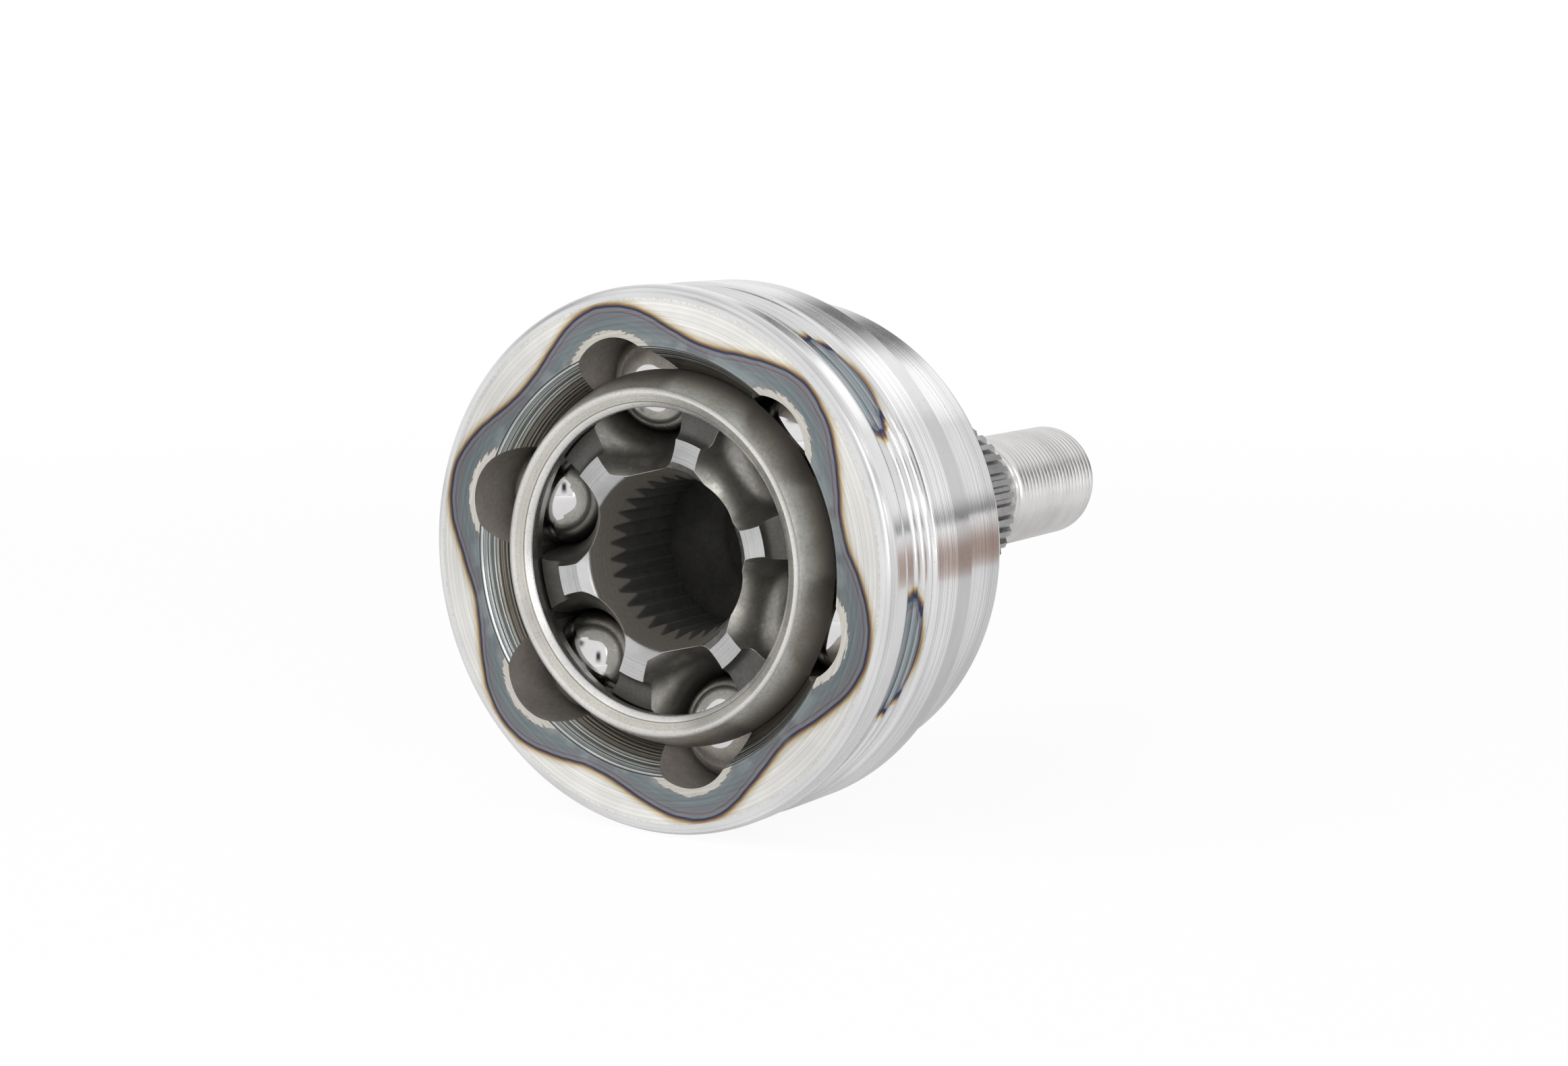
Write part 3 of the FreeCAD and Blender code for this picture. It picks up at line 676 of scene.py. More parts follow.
# ---------------------------------------------------------------- finishes
class Graph:
    """Writes a shader's nodes: numbers or sockets go in, a socket comes out."""

    def __init__(self, owner):
        self.owner = owner
        owner.use_nodes = True
        self.nodes, self.links = owner.node_tree.nodes, owner.node_tree.links
        self.nodes.clear()
        self.place = 0

    def node(self, kind, **settings):
        node = self.nodes.new(kind)
        self.place += 1
        node.location = (self.place % 12 * 180, -(self.place // 12) * 220)
        for key, value in settings.items():
            setattr(node, key, value)
        return node

    def join(self, value, socket):
        """Links a socket, or writes a number, a vector or a colour without its alpha."""
        if isinstance(value, bpy.types.NodeSocket):
            self.links.new(value, socket)
        elif socket.type == "RGBA" and len(value) == 3:
            socket.default_value = (*value, 1.0)
        else:
            socket.default_value = value

    def feed(self, node, values, sockets=None):
        """Joins the values to the node's named sockets, or to its first ones, and gives its first output."""
        targets = [node.inputs[name] for name in sockets] if sockets else node.inputs
        for value, socket in zip(values, targets):
            self.join(value, socket)
        return next(iter(node.outputs), None)

    def math(self, operation, *values, clamp=False):
        return self.feed(self.node("ShaderNodeMath", operation=operation, use_clamp=clamp), values)

    def plus(self, first, second):
        return self.math("ADD", first, second)

    def minus(self, first, second):
        return self.math("SUBTRACT", first, second)

    def times(self, first, second):
        return self.math("MULTIPLY", first, second)

    def scaled(self, value, factor, offset):
        """The value times the factor, plus the offset."""
        return self.math("MULTIPLY_ADD", value, factor, offset)

    def rest(self, value):
        """One less the value."""
        return self.math("SUBTRACT", 1.0, value)

    def hypot(self, first, second):
        return self.math("SQRT", self.plus(self.times(first, first), self.times(second, second)))

    def vector(self, operation, *values, sockets=None):
        return self.feed(self.node("ShaderNodeVectorMath", operation=operation), values, sockets)

    def combine(self, x, y, z):
        return self.feed(self.node("ShaderNodeCombineXYZ"), (x, y, z))

    def step(self, value, low, high):
        """0 below low, 1 above high, and a soft step between."""
        return self.feed(self.node("ShaderNodeMapRange", interpolation_type="SMOOTHSTEP"), (value, low, high))

    def blend(self, share, first, second, way="MIX"):
        node = self.node("ShaderNodeMix", data_type="RGBA", blend_type=way)
        self.feed(node, (share, first, second), (0, 6, 7))
        return node.outputs[2]

    def dim(self, colour, by, share=1.0):
        """The colour multiplied by a second one, to the given share."""
        return self.blend(share, colour, by, "MULTIPLY")

    def ramp(self, value, stops, low=0.0, high=1.0):
        """Colours or greys at places between low and high."""
        node = self.node("ShaderNodeValToRGB")
        spread = node.color_ramp.elements
        while len(spread) > 1:
            spread.remove(spread[-1])
        for index, (place, colour) in enumerate(stops):
            place = (place - low) / (high - low)
            stop = spread.new(place) if index else spread[0]
            stop.position = place
            stop.color = (*colour, 1.0) if hasattr(colour, "__len__") else (colour, colour, colour, 1.0)
        return self.feed(node, [self.math("DIVIDE", self.minus(value, low), high - low)])

    def bump(self, height, distance):
        """Height from 0 to 1 over a depth in millimetres."""
        return self.feed(self.node("ShaderNodeBump"), (1.0, distance * MM, height),
                         ("Strength", "Distance", "Height"))

    def emit(self, colour):
        return self.feed(self.node("ShaderNodeEmission"), [colour])


class Finish(Graph):
    """A material's graph. Its point, x, y, z and r are in millimetres in the part's own axes."""

    def __init__(self, name):
        super().__init__(bpy.data.materials.new(name))
        place = self.node("ShaderNodeTexCoord").outputs["Object"]
        self.point = self.vector("SCALE", place, 1 / MM, sockets=("Vector", "Scale"))
        split = self.node("ShaderNodeSeparateXYZ")
        self.feed(split, [self.point])
        self.x, self.y, self.z = split.outputs
        self.r = self.hypot(self.x, self.z)
        self.angle = self.math("ARCTAN2", self.z, self.x)

    def noise(self, scale, detail=2.0, rough=0.5, point=None, stretch=None):
        point = self.point if point is None else point
        if stretch:
            point = self.vector("MULTIPLY", point, stretch)
        return self.feed(self.node("ShaderNodeTexNoise"), (point, scale, detail, rough),
                         ("Vector", "Scale", "Detail", "Roughness"))

    def lines(self, value, scale, detail=3.0):
        """Marks of a turning tool: noise that changes only along one value."""
        return self.feed(self.node("ShaderNodeTexNoise", noise_dimensions="1D"), (value, scale, detail, 0.6),
                         ("W", "Scale", "Detail", "Roughness"))

    def cloud(self, scale, detail, low, high, stops=(0.3, 0.7), **noise):
        """Slow patches of grey between two levels, the noise spread between two stops."""
        return self.ramp(self.noise(scale, detail, **noise), zip(stops, (low, high)))

    def gloss(self, scale, detail, spread, lowest):
        """Roughness that wanders by the spread above its lowest value."""
        return self.scaled(self.noise(scale, detail), spread, lowest)

    def output(self, shader):
        self.feed(self.node("ShaderNodeOutputMaterial"), [shader])

    def steel(self, colour, roughness, normal, turned=0.0, metal=1.0):
        """The shader: highlights of turned surfaces are drawn out across the tool's marks."""
        shader = self.node("ShaderNodeBsdfPrincipled")
        if turned:
            around = self.vector("NORMALIZE", self.combine(self.times(self.z, -1.0), 0.0, self.x))
            self.feed(shader, (turned, 0.25, around), ("Anisotropic", "Anisotropic Rotation", "Tangent"))
        self.output(self.feed(shader, (colour, roughness, metal, normal),
                              ("Base Color", "Roughness", "Metallic", "Normal")))


def shaded(colour, share):
    return tuple(part * share for part in colour)


def sector_angle(g):
    """Angle from the nearest track's middle, between minus and plus 30 degrees."""
    turned = g.plus(g.angle, SECTOR / 2 - FIRST_BALL + 4 * math.pi)
    return g.minus(g.math("MODULO", turned, SECTOR), SECTOR / 2)


def finish_tinted_face(tint):
    """Ground face whose six-lobed heat tint follows the hardened tracks.

    The place across the tint is the radius less a radius that swells by a cosine at each track. Raw metal
    shows in a crescent round each track's mouth, where the distance from the ball's path is small.
    """
    g = Finish("tinted face")
    delta = sector_angle(g)
    lobes = g.math("COSINE", g.times(g.minus(g.angle, FIRST_BALL), float(BALLS)))
    middle = g.scaled(lobes, TINT_SWELL, TINT_R)
    across = g.minus(g.scaled(g.minus(g.noise(0.16), 0.5), 0.8, g.r), middle)
    colour = g.ramp(across, [
        (-6.0, tint.face_inside), (-3.6, tint.face_inside), (-3.0, tint.teal), (-2.5, tint.face_inside),
        (-2.1, tint.teal), (-1.75, tint.rose), (-1.45, tint.teal), (-1.15, tint.face_inside),
        (-0.95, tint.purple), (-0.7, tint.rose), (-0.42, tint.face_inside), (-0.25, tint.teal),
        (-0.12, tint.dark_blue), (0.05, tint.dark_blue), (0.18, tint.brown_line), (0.4, tint.bronze),
        (0.62, tint.straw), (0.9, tint.cream), (1.7, tint.face_steel), (6.0, tint.face_steel)], -6.0, 6.0)
    silver = g.times(g.rest(g.step(g.r, 35.5, 37.8)), g.step(g.noise(0.22, 3.0), 0.42, 0.62))
    colour = g.blend(g.times(silver, 0.6), colour, tint.silver_film)
    colour = g.dim(colour, g.cloud(0.10, 3.0, 0.90, 1.0, (0.35, 0.65)))
    # Painted highlight: the bow-tie of light on a turned face, brightest at 78 and 258 degrees round the shaft
    # and darkest halfway between.
    bowtie_highlight = g.math("COSINE", g.times(g.minus(g.angle, math.radians(78)), 2.0))
    colour = g.dim(colour, g.ramp(bowtie_highlight, [(-1.0, 0.76), (0.0, 0.90), (0.8, 1.0)], -1.0, 1.0))
    x, z = (g.times(g.r, g.math(turn, delta)) for turn in ("COSINE", "SINE"))
    beside = g.minus(g.hypot(x, g.plus(g.y, TRACK_OFFSET)), TRACK_R)
    gap = g.minus(g.hypot(beside, z), BELL_BORE_R)
    scrape = g.noise(1.0, 3.0, 0.7, point=g.combine(g.times(g.r, 2.4), g.times(g.angle, 11.0), 0.0))
    jag = g.scaled(scrape, 1.9, g.scaled(g.noise(1.1, 4.0, 0.7), 0.7, gap))
    raw = g.rest(g.step(jag, 2.4, 2.52))
    colour = g.blend(raw, colour, g.blend(scrape, tint.raw_metal, shaded(tint.raw_metal, 0.8)))
    rings = g.lines(g.r, 1.6, 2.0)
    ridge = g.scaled(g.math("SINE", g.times(g.r, 2 * math.pi / 0.55)), 0.5, 0.5)
    ridge = g.scaled(ridge, 0.2, g.times(g.step(rings, 0.38, 0.64), 0.8))
    colour = g.dim(colour, (0.2, 0.2, 0.2), g.times(ridge, 0.22))
    rim = g.times(g.step(g.r, 42.7, 43.15), g.step(g.noise(2.2, 3.0, 0.7), 0.45, 0.62))
    colour = g.blend(g.times(rim, 0.35), colour, (0.30, 0.30, 0.31))
    g.steel(colour, g.cloud(0.2, 2.0, 0.2, 0.28), g.bump(rings, 0.004), turned=0.5)


def finish_turned(name, colour, rough, depth, pitch, turned=0.6, stain=0.3, cut=0.35):
    """Turned steel: fine marks run round the shaft, over slow clouds in colour and gloss."""
    g = Finish(name)
    marks = g.lines(g.plus(g.y, g.r), pitch)
    cloud = g.cloud(0.09, 4.0, 0.0, 1.0, (0.35, 0.7), stretch=(1.0, 1.6, 1.0))
    base = g.blend(cloud, colour, shaded(colour, 1 - stain))
    base = g.dim(base, (0.25, 0.25, 0.27), g.times(marks, cut))
    g.steel(base, g.gloss(0.8, 3.0, 0.16, rough - 0.08), g.bump(marks, depth), turned=turned)


def finish_cone(tint):
    """The lead-in cone: cuts of a turning tool with painted highlights and painted shade along them, teal at
    its outer edge and brown towards the bore.
    """
    g = Finish("lead-in cone")
    cuts = g.lines(g.y, 3.0, 2.0)
    depth = g.scaled(g.noise(0.12, 3.0), 2.2, g.minus(g.y, FACE_Y + 1.1))
    colour = g.ramp(depth, [(0.0, tint.face_inside), (0.5, tint.cone_grey), (2.0, tint.cone_grey),
                            (3.4, tint.brown_film)], 0.0, 6.0)
    # Painted highlight: pale lines along the cuts, strongest about a millimetre in from the face.
    bright = g.times(g.step(cuts, 0.50, 0.60), g.ramp(depth, [(0.2, 0.4), (1.0, 0.95), (3.6, 0.3)], 0.0, 4.0))
    colour = g.blend(bright, colour, (0.88, 0.92, 0.92))
    # Painted shade: dark lines along the cuts.
    colour = g.blend(g.times(g.rest(g.step(cuts, 0.34, 0.44)), 0.6), colour, (0.10, 0.10, 0.10))
    g.steel(colour, g.gloss(0.8, 3.0, 0.12, 0.12), g.bump(cuts, 0.05), turned=0.5)


def spot_film(g, tint, colour, marks, coarse):
    """The clamp seat's six spots of heat tint, one behind each track.

    The place in a spot is one less the sum of two powers: of the way round from the track's middle and of the
    way along from the spot's middle.
    """
    far = g.times(g.math("ABSOLUTE", sector_angle(g)), 44.6)
    uneven = g.minus(g.noise(0.5, 3.0), 0.5)
    along = g.math("POWER", g.math("DIVIDE", g.scaled(uneven, 2.0, far), 10.9), 2.1)
    across = g.math("POWER", g.math("DIVIDE", g.math("ABSOLUTE", g.plus(g.y, 6.9)), 4.9), 1.6)
    inside = g.times(g.rest(g.plus(along, across)), 3.0)
    inside = g.scaled(g.minus(marks, 0.5), 0.9, inside)
    film = g.ramp(inside, [
        (-1.6, tint.bright_steel), (-0.9, tint.bright_steel), (-0.5, tint.cream), (-0.22, tint.straw),
        (0.0, tint.bronze), (0.15, tint.brown_line), (0.35, tint.dark_blue), (0.62, tint.deep_blue),
        (0.85, tint.teal), (1.15, tint.purple), (1.5, tint.face_inside), (2.1, tint.teal),
        (3.0, tint.face_inside)], -1.6, 3.0)
    # Painted highlight: pale streaks along the coarse marks deep inside each spot.
    streak_highlight = g.times(g.step(coarse, 0.50, 0.68), g.step(inside, 0.7, 1.4))
    film = g.blend(g.times(streak_highlight, 0.55), film, (0.62, 0.66, 0.70))
    return g.blend(g.step(inside, -1.4, -0.7), colour, film)


def finish_bands(tint, name="turned bands", spots=False):
    """The bell's bright bands: their tone and the strength of their grooves change from band to band; the tone
    holds painted shade just behind the step at y 11, and the grooves' dark lines are painted shade in their
    bottoms mixed with tool marks.
    """
    g = Finish(name)
    low, high = BAND_TONES_AND_SHADE[0][0], BAND_TONES_AND_SHADE[-1][0]
    marks, coarse = (g.lines(g.plus(g.y, g.r), *pitch) for pitch in ((3.4, 4.0), (0.9, 2.0)))
    # The tone along the shaft line, with painted shade just behind the step at y 11.
    colour = g.ramp(g.y, BAND_TONES_AND_SHADE, low, high)
    if spots:
        colour = spot_film(g, tint, colour, marks, coarse)
    colour = g.dim(colour, (0.3, 0.3, 0.32), g.times(marks, 0.34))
    # Painted shade: darker lines in the bottoms of the fine band's grooves, at their pitch, mixed with the
    # tool's marks.
    groove = g.math("COSINE", g.times(g.minus(g.y, FINE_BAND[0]), 4 * math.pi))
    groove = g.scaled(groove, -0.25, g.times(g.step(g.lines(g.y, 1.5, 1.0), 0.36, 0.64), 0.75))
    colour = g.dim(colour, (0.40, 0.40, 0.41), g.times(groove, g.ramp(g.y, BAND_GROOVE_SHADE, low, high)))
    colour = g.dim(colour, g.cloud(0.07, 4.0, 0.86, 1.0, stretch=(1.0, 2.0, 1.0)))
    nicks = g.cloud(1.9, 2.0, 0.0, 1.0, (0.70, 0.76), rough=0.6)
    colour = g.blend(g.times(nicks, 0.4), colour, (0.25, 0.24, 0.23))
    rough = g.gloss(0.7, 3.0, 0.10, g.ramp(g.y, [(-14.0, 0.24), (-12.5, 0.09)], -14.0, -12.5))
    g.steel(colour, rough, g.bump(g.minus(marks, g.times(nicks, 0.8)), 0.008), turned=0.5)


def finish_ring(tint):
    """The cage's front ring, by radius: a speckled tan dish between painted highlights on its outer rim and on
    its inner bevel.
    """
    g = Finish("cage ring")
    # Painted highlights: bright steel on the inner bevel and a pale band on the outer rim.
    colour = g.ramp(g.r, [(25.38, tint.bore_brown), (25.5, tint.bright_steel), (26.25, tint.face_steel),
                          (26.34, tint.brown_film), (26.5, tint.ring_steel), (27.45, tint.ring_steel),
                          (27.6, tint.rim_highlight), (28.2, tint.rim_highlight), (28.6, tint.dark_satin)], 25.0, 29.0)
    colour = g.blend(g.rest(g.step(g.y, -13.9, -13.6)), tint.dark_satin, colour)
    speck = g.cloud(2.4, 3.0, 0.6, 1.0, (0.36, 0.46), rough=0.7)
    marks = g.lines(g.r, 3.0)
    colour = g.dim(g.dim(colour, speck, 0.4), (0.3, 0.3, 0.3), g.times(marks, 0.3))
    colour = g.dim(colour, g.cloud(0.09, 3.0, 0.82, 1.0))
    g.steel(colour, g.gloss(0.8, 3.0, 0.16, 0.2), g.bump(g.plus(marks, speck), 0.008), turned=0.3, metal=0.85)


def finish_tracks(name, tint, colour, worn, rough=0.34, film=0.5, deep=None, grain=0.012, floor=0.1):
    """Hardened steel under a thin film: satin, with cloudy patches, bright worn spots and fine scratches.

    Between two places along the shaft line the colour falls to the given share of itself: painted shade deeper
    inside the joint.
    """
    g = Finish(name)
    cloud = g.noise(0.16, 5.0, 0.6)
    brown = tuple(part * share for part, share in zip(colour, (0.66, 0.66, 0.60)))
    base = g.blend(g.ramp(cloud, [(0.3, 0.0), (0.72, 1.0)]), colour, brown)
    spot = g.cloud(0.32, 4.0, 0.0, 1.0, (0.60, 0.74), rough=0.62)
    base = g.blend(g.times(spot, worn), base, tint.bright_steel)
    hair = g.cloud(0.9, 3.0, 0.0, 1.0, (0.66, 0.70), rough=0.7, stretch=(6.0, 0.5, 1.0))
    base = g.blend(g.times(hair, worn), base, shaded(tint.bright_steel, 0.8))
    base = g.dim(base, g.cloud(1.5, 4.0, 0.8, 1.0, (0.35, 0.6), rough=0.7))
    # Painted shade: darker deeper inside the joint, from the first place along the shaft line to the second.
    if deep:
        base = g.blend(g.step(g.y, *deep), base, shaded(colour, floor))
    g.steel(base, g.scaled(cloud, 0.2, rough - 0.1), g.bump(g.noise(2.6, 4.0, 0.7), grain), metal=1.0 - film)


def finish_bore(tint):
    """The inner race's bore: light on the front cone, whose radius falls with y, and painted shade on and
    between the teeth behind it.
    """
    g = Finish("bore")
    cone = g.scaled(g.minus(g.y, BORE_EDGE[1]), -BORE_CONE, BORE_EDGE[0])
    on_cone = g.times(g.rest(g.step(g.minus(g.r, cone), 0.02, 0.07)), g.rest(g.step(g.y, -4.6, -4.3)))
    grain = g.noise(1.3, 4.0, 0.65, stretch=(1.0, 3.0, 1.0))
    light = g.blend(grain, tint.bore_brown, shaded(tint.bore_brown, 0.55))
    # Painted shade: the teeth and the spaces between them are dark, as deep in the bore.
    dark = g.blend(g.noise(0.4, 3.0), tint.bore_shade, shaded(tint.bore_shade, 0.6))
    marks = g.lines(g.y, 2.6)
    colour = g.dim(g.blend(on_cone, dark, light), (0.3, 0.3, 0.3), g.times(marks, 0.35))
    g.steel(colour, g.scaled(grain, 0.2, 0.42), g.bump(g.plus(grain, marks), 0.02), metal=0.7)


def finish_ball(tint):
    """Lapped steel with an oil film: nearly a mirror, with faint clouds and hairlines."""
    g = Finish("polished ball")
    base = g.blend(g.cloud(0.12, 3.0, 0.0, 1.0), tint.ball_steel, shaded(tint.ball_steel, 0.8))
    g.steel(base, g.gloss(0.6, 4.0, 0.06, 0.05), g.bump(g.noise(1.2), 0.002))


def make_finishes(tint):
    steel, satin = tint.bright_steel, tint.dark_satin
    finish_tinted_face(tint)
    finish_bands(tint)
    finish_bands(tint, "clamp seat", spots=True)
    finish_cone(tint)
    finish_ring(tint)
    finish_bore(tint)
    finish_ball(tint)
    finish_turned("turned back", steel, 0.28, 0.012, 1.8, stain=0.12, cut=0.5)
    finish_turned("spline steel", shaded(steel, 0.62), 0.28, 0.004, 2.0, turned=0.0)
    finish_turned("thread steel", tint.thread_steel, 0.2, 0.0, 1.0, turned=0.0, stain=0.15, cut=0.15)
    finish_turned("hub turned", shaded(steel, 0.95), 0.26, 0.012, 1.6, cut=0.6)
    # Painted shade: the bell's pockets and the cage sphere darken deeper inside, and the cavity floor is
    # painted dark as shade.
    finish_tracks("track satin", tint, tint.pocket_brown, 0.5, rough=0.30, film=0.45, deep=(-5.0, 5.0))
    finish_tracks("shaded cavity", tint, shaded(satin, 0.31), 0.0, rough=0.6)
    finish_tracks("cage sphere", tint, shaded(satin, 2.3), 0.2, rough=0.36, film=0.06, deep=(-15.5, -9.5),
                  floor=0.34)
    finish_tracks("window wall", tint, shaded(satin, 0.9), 0.4, rough=0.3, film=0.1)
    finish_tracks("race satin", tint, shaded(satin, 0.3), 0.1, rough=0.4, film=0.4)
    finish_tracks("race track", tint, shaded(satin, 1.45), 0.6, rough=0.24, film=0.06, grain=0.006)


# ---------------------------------------------------------------- stage
def lamp(name, place, aim, size, power, mirrored=True):
    """A soft rectangular lamp that looks at a point."""
    light = bpy.data.lights.new(name, "AREA")
    light.shape = "RECTANGLE"
    light.size, light.size_y = size
    light.energy = power
    thing = bpy.data.objects.new(name, light)
    thing.location = place
    thing.rotation_euler = (Vector(aim) - Vector(place)).to_track_quat("-Z", "Y").to_euler()
    thing.visible_glossy = mirrored
    bpy.context.scene.collection.objects.link(thing)


def sheet(name, corners, material):
    mesh = bpy.data.meshes.new(name)
    mesh.from_pydata(corners, [], [tuple(range(len(corners)))])
    mesh.materials.append(material)
    thing = bpy.data.objects.new(name, mesh)
    bpy.context.scene.collection.objects.link(thing)
    return thing


def card(name, colour, azimuth, distance, low_z, high_z, half):
    """An upright soft-edged card that only shiny metal sees.

    Its colour fades to white by the product of two soft steps, of the place across it and of the height.
    """
    turn = math.radians(azimuth)
    away = Vector((math.sin(turn), math.cos(turn), 0)) * distance
    across = Vector((math.cos(turn), -math.sin(turn), 0))
    g = Finish(name)
    beside = g.plus(g.times(g.x, across.x), g.times(g.y, across.y))
    above = g.minus(g.z, (low_z + high_z) / 2 / MM)
    inside = [g.rest(g.step(g.math("DIVIDE", g.math("ABSOLUTE", place), reach / MM), core, 1.0))
              for place, reach, core in ((beside, half, 0.2), (above, (high_z - low_z) / 2, 0.15))]
    g.output(g.emit(g.blend(g.times(*inside), (1.0, 1.0, 1.0), colour)))
    corners = [away + side * half * across + Vector((0, 0, z))
               for side, z in ((-1, low_z), (1, low_z), (1, high_z), (-1, high_z))]
    thing = sheet(name, corners, g.owner)
    thing.visible_camera = thing.visible_shadow = thing.visible_diffuse = False


def make_camera(scene):
    """The photo's camera: its place in metres, the way it looks, and its level right-hand side."""
    data = bpy.data.cameras.new("camera")
    data.sensor_width, data.lens = 36.0, 61.96
    data.clip_start, data.clip_end = 0.01, 20.0
    camera = bpy.data.objects.new("camera", data)
    place = Vector((0.2493, -0.3720, 0.0633))
    forward = Vector((-0.5265, 0.8397, -0.1329)).normalized()
    right = Vector((0.8472, 0.5312, 0.0)).normalized()
    turn = Matrix((right, right.cross(forward), -forward)).transposed()
    camera.matrix_world = Matrix.Translation(place) @ turn.to_4x4()
    scene.collection.objects.link(camera)
    scene.camera = camera


def make_floor(stage):
    """A white floor that keeps the shadows near the part and is wholly white far off."""
    g = Finish("pale floor")
    path = g.node("ShaderNodeLightPath").outputs
    seen = g.math("MAXIMUM", path["Is Camera Ray"], path["Is Transmission Ray"])
    far_off = g.step(g.hypot(g.x, g.y), 150.0, 900.0)
    glow = g.scaled(far_off, 1.0 - stage.floor_glow, stage.floor_glow)
    share = g.math("MULTIPLY_ADD", seen, glow, g.times(path["Is Glossy Ray"], stage.mirrored_glow), clamp=True)
    plain = g.feed(g.node("ShaderNodeBsdfDiffuse"), [stage.floor_colour])
    g.output(g.feed(g.node("ShaderNodeMixShader"), (share, plain, g.emit((1.0, 1.0, 1.0)))))
    low, far = CAD_BOX[0][2] - 0.0003, 3.0
    sheet("floor", [(-far, -far, low), (far, -far, low), (far, far, low), (-far, far, low)], g.owner)


def make_world(scene, stage):
    """White where the camera, a mirror or glass looks, and the level of the light from all round elsewhere."""
    scene.world = bpy.data.worlds.new("studio")
    g = Graph(scene.world)
    path = g.node("ShaderNodeLightPath").outputs
    seen = g.plus(path["Is Camera Ray"], path["Is Glossy Ray"])
    seen = g.math("ADD", seen, path["Is Transmission Ray"], clamp=True)
    level = g.scaled(seen, 1.0 - stage.world_level, stage.world_level)
    back = g.feed(g.node("ShaderNodeBackground"), ((1.0, 1.0, 1.0), level))
    g.feed(g.node("ShaderNodeOutputWorld"), [back])


def make_stage(stage):
    scene = bpy.context.scene
    scene.view_settings.view_transform = "Standard"
    make_camera(scene)
    make_floor(stage)
    make_world(scene, stage)
    for name, place, aim, size, power, mirrored in (
            ("key softbox", (-0.35, -0.80, 0.90), (0, 0, 0), (1.2, 0.9), 9.0, False),
            ("front softbox", (0.75, -1.05, 0.35), (0, 0, 0), (0.7, 0.5), 5.0, False),
            ("strip softbox", (1.0, -0.68, 0.42), (0, 0, 0), (0.14, 1.0), 1.4, True),
            ("back softbox", (0.10, 1.05, 0.68), (0, 0, 0), (0.6, 0.42), 0.32, True),
            ("side softbox", (0.95, 0.05, 0.45), (0, 0.03, 0), (0.3, 0.5), 1.0, True)):
        lamp(name, place, aim, size, power * stage.lamp_level, mirrored)
    for name, colour, azimuth, distance, low_z, high_z, half in (
            ("grey card high", stage.grey_card, -13, 0.88, 0.30, 0.70, 0.23),
            ("strip card low", stage.strip_card, 35, 0.28, -0.026, 0.046, 0.09),
            ("brown card", stage.brown_card, 35, 0.27, -0.062, 0.016, 0.10),
            ("stub card", stage.dark_card, 6.5, 0.169, -0.024, 0.068, 0.046),
            ("card behind camera", stage.dark_card, 148, 1.3, -0.04, 0.9, 0.2),
            ("side card right", stage.grey_card, 92, 0.9, 0.28, 0.86, 0.34),
            ("side card left", stage.grey_card, -92, 0.9, 0.28, 0.86, 0.34),
            ("front card high", stage.grey_card, 205, 0.9, 0.50, 1.06, 0.30)):
        card(name, colour, azimuth, distance, low_z, high_z, half)


# ---------------------------------------------------------------- panel and operators
def shade(name, text, default):
    return bpy.props.FloatVectorProperty(name=name, description=text, default=default, subtype="COLOR", size=3,
                                         min=0.0, max=1.0)


def length(name, text, default, top):
    return bpy.props.FloatProperty(name=name, description=text, default=default * MM, min=0.0, max=top * MM,
                                   unit="LENGTH", precision=5)


def level(name, text, default, top=1.0):
    return bpy.props.FloatProperty(name=name, description=text, default=default, min=0.0, max=top,
                                   subtype="FACTOR")


class JointSizes(bpy.types.PropertyGroup):
    edge_break: length("Edge break", "Width of the small bevel on machined edges", 0.12, 0.5)
    fine_depth: length("Fine groove depth", "Depth of the grooves on the bell's fine-turned band", 0.014, 0.1)
    cone_depth: length("Cone groove depth", "Depth of the turning grooves in the lead-in cone", 0.075, 0.1)
    thread_pitch: length("Thread pitch", "Rise of the stub's thread in one turn", 1.5, 3.0)


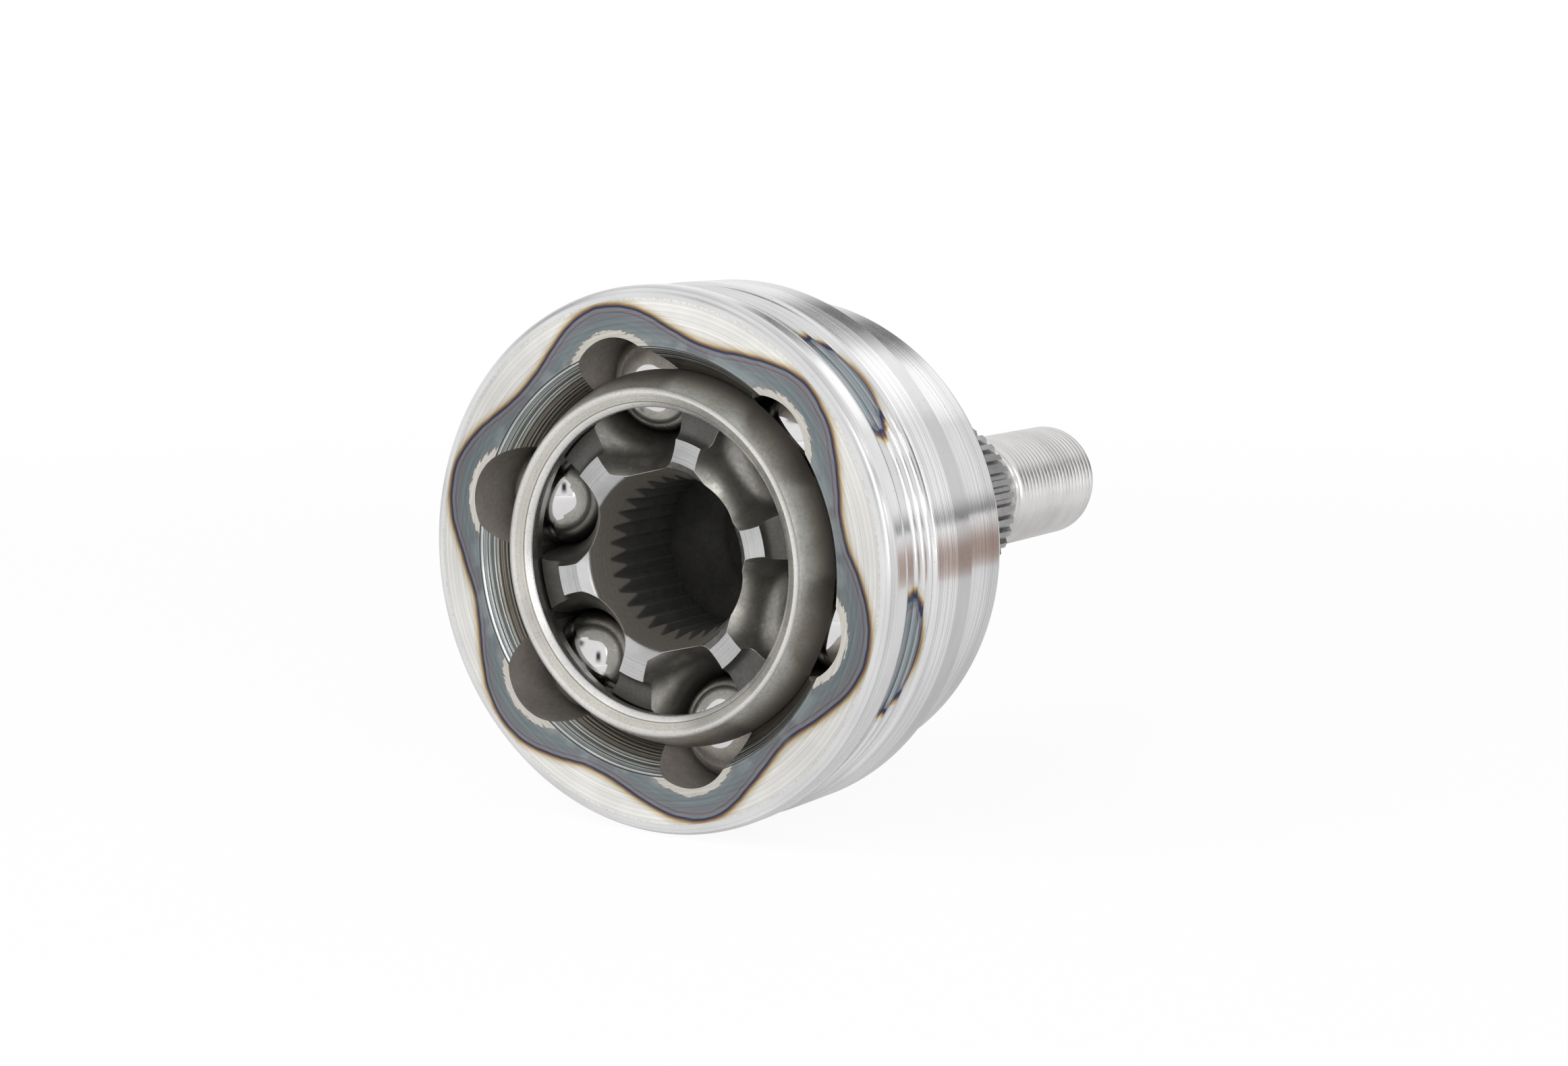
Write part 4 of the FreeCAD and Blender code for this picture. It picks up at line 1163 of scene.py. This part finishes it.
class JointColours(bpy.types.PropertyGroup):
    bright_steel: shade("Bright steel", "Bare turned steel", (0.76, 0.76, 0.76))
    face_steel: shade("Face steel", "Ground steel of the bell's face", (1.0, 0.985, 0.945))
    raw_metal: shade("Raw metal", "Crescents of raw metal round the tracks", (0.72, 0.69, 0.63))
    face_inside: shade("Tinted face", "The face's grey inside the tint", (0.265, 0.28, 0.285))
    silver_film: shade("Silver film", "Pale patches of the tint beside the cone", (0.42, 0.47, 0.48))
    teal: shade("Teal film", "Blue-green between the fine lines", (0.20, 0.265, 0.285))
    rose: shade("Rose line", "Thin rose lines of the tint", (0.285, 0.235, 0.25))
    purple: shade("Purple line", "Thin purple lines of the tint", (0.185, 0.155, 0.195))
    deep_blue: shade("Spot blue", "Navy at the tips of the clamp seat's spots", (0.045, 0.05, 0.12))
    dark_blue: shade("Blue line", "The darkest line of the tint", (0.062, 0.066, 0.135))
    brown_line: shade("Brown line", "Brown just outside the blue line", (0.155, 0.095, 0.085))
    bronze: shade("Bronze line", "Bronze outside the brown line", (0.36, 0.225, 0.12))
    straw: shade("Straw", "The glow outside the bronze line", (0.56, 0.45, 0.27))
    cream: shade("Cream", "The palest part of the glow", (0.80, 0.73, 0.58))
    cone_grey: shade("Cone grey", "The lead-in cone's grey", (0.24, 0.26, 0.265))
    dark_satin: shade("Dark satin", "Hardened steel", (0.385, 0.375, 0.36))
    brown_film: shade("Brown film", "The brown patches on dark steel", (0.27, 0.235, 0.20))
    ring_steel: shade("Ring steel", "The cage's turned ring", (0.72, 0.70, 0.645))
    thread_steel: shade("Thread steel", "The stub's thread", (0.78, 0.765, 0.75))
    # Painted highlight along the outer rim of the cage's ring.
    rim_highlight: shade("Ring rim", "The rim of the cage's ring", (0.86, 0.85, 0.81))
    pocket_brown: shade("Pocket brown", "The bell's hardened tracks", (0.62, 0.575, 0.54))
    bore_brown: shade("Bore brown", "The inner race's rough front cone", (0.30, 0.275, 0.24))
    bore_shade: shade("Tooth dark", "The shaded spaces between the bore's teeth", (0.185, 0.182, 0.176))
    ball_steel: shade("Ball steel", "Lapped balls", (0.78, 0.77, 0.77))


class JointStage(bpy.types.PropertyGroup):
    floor_colour: shade("Floor", "The pale floor", (1.0, 1.0, 1.0))
    dark_card: shade("Dark card", "The darkest cards that the metal mirrors", (0.03, 0.03, 0.03))
    strip_card: shade("Strip card", "The strip above the warm card", (0.20, 0.20, 0.21))
    grey_card: shade("Grey card", "A dark grey card that the bands mirror", (0.17, 0.17, 0.17))
    brown_card: shade("Brown card", "A warm card that the bands mirror", (0.47, 0.355, 0.31))
    floor_glow: level("Floor glow", "How much of the floor's white is its own", 0.93)
    mirrored_glow: level("Mirrored glow", "The same, as the metal mirrors it", 0.35)
    world_level: level("World level", "Light from all round", 0.4)
    lamp_level: level("Lamp level", "Strength of the softboxes", 1.0, 4.0)


def in_millimetres(sizes):
    """The sizes as plain numbers in millimetres."""
    return SimpleNamespace(**{key: getattr(sizes, key) / MM for key in JointSizes.__annotations__})


class BALLJOINT_OT_finishes(bpy.types.Operator):
    """Makes the steel finishes"""
    bl_idname = "balljoint.finishes"
    bl_label = "Finishes"

    def execute(self, context):
        make_finishes(context.scene.joint_colours)
        return {"FINISHED"}


class BALLJOINT_OT_bell(bpy.types.Operator):
    """Makes the bell with its tracks, bands and clamp seat"""
    bl_idname = "balljoint.bell"
    bl_label = "Bell"

    def execute(self, context):
        make_bell(in_millimetres(context.scene.joint_sizes))
        return {"FINISHED"}


class BALLJOINT_OT_stub(bpy.types.Operator):
    """Makes the stub axle with its spline and thread"""
    bl_idname = "balljoint.stub"
    bl_label = "Stub axle"

    def execute(self, context):
        make_stub(in_millimetres(context.scene.joint_sizes))
        return {"FINISHED"}


class BALLJOINT_OT_cage(bpy.types.Operator):
    """Makes the cage with its six windows"""
    bl_idname = "balljoint.cage"
    bl_label = "Cage"

    def execute(self, context):
        make_cage(in_millimetres(context.scene.joint_sizes))
        return {"FINISHED"}


class BALLJOINT_OT_race(bpy.types.Operator):
    """Makes the inner race with its tracks and toothed bore"""
    bl_idname = "balljoint.race"
    bl_label = "Inner race"

    def execute(self, context):
        make_inner_race(in_millimetres(context.scene.joint_sizes))
        return {"FINISHED"}


class BALLJOINT_OT_balls(bpy.types.Operator):
    """Makes the six balls"""
    bl_idname = "balljoint.balls"
    bl_label = "Balls"

    def execute(self, context):
        for number in range(1, BALLS + 1):
            make_ball(number)
        return {"FINISHED"}


class BALLJOINT_OT_stage(bpy.types.Operator):
    """Makes the floor, the lamps and the camera"""
    bl_idname = "balljoint.stage"
    bl_label = "Stage"

    def execute(self, context):
        make_stage(context.scene.joint_stage)
        return {"FINISHED"}


OPERATORS = (BALLJOINT_OT_finishes, BALLJOINT_OT_bell, BALLJOINT_OT_stub, BALLJOINT_OT_cage, BALLJOINT_OT_race,
             BALLJOINT_OT_balls, BALLJOINT_OT_stage)


class BALLJOINT_PT_panel(bpy.types.Panel):
    """Lists the sizes, the colours and the pieces"""
    bl_idname = "BALLJOINT_PT_panel"
    bl_label = "Ball joint"
    bl_space_type = "VIEW_3D"
    bl_region_type = "UI"
    bl_category = "Ball joint"

    def draw(self, context):
        for group in (context.scene.joint_sizes, context.scene.joint_colours, context.scene.joint_stage):
            box = self.layout.box()
            for key in type(group).__annotations__:
                box.prop(group, key)
        for operator in OPERATORS:
            self.layout.operator(operator.bl_idname)


GROUPS = {"joint_sizes": JointSizes, "joint_colours": JointColours, "joint_stage": JointStage}


def register():
    for kind in (*GROUPS.values(), *OPERATORS, BALLJOINT_PT_panel):
        bpy.utils.register_class(kind)
    for name, kind in GROUPS.items():
        setattr(bpy.types.Scene, name, bpy.props.PointerProperty(type=kind))


def unregister():
    for name in GROUPS:
        delattr(bpy.types.Scene, name)
    for kind in reversed((*GROUPS.values(), *OPERATORS, BALLJOINT_PT_panel)):
        bpy.utils.unregister_class(kind)


def main():
    register()
    for operator in OPERATORS:
        getattr(bpy.ops.balljoint, operator.bl_idname.split(".")[1])()


if __name__ == "__main__":
    main()
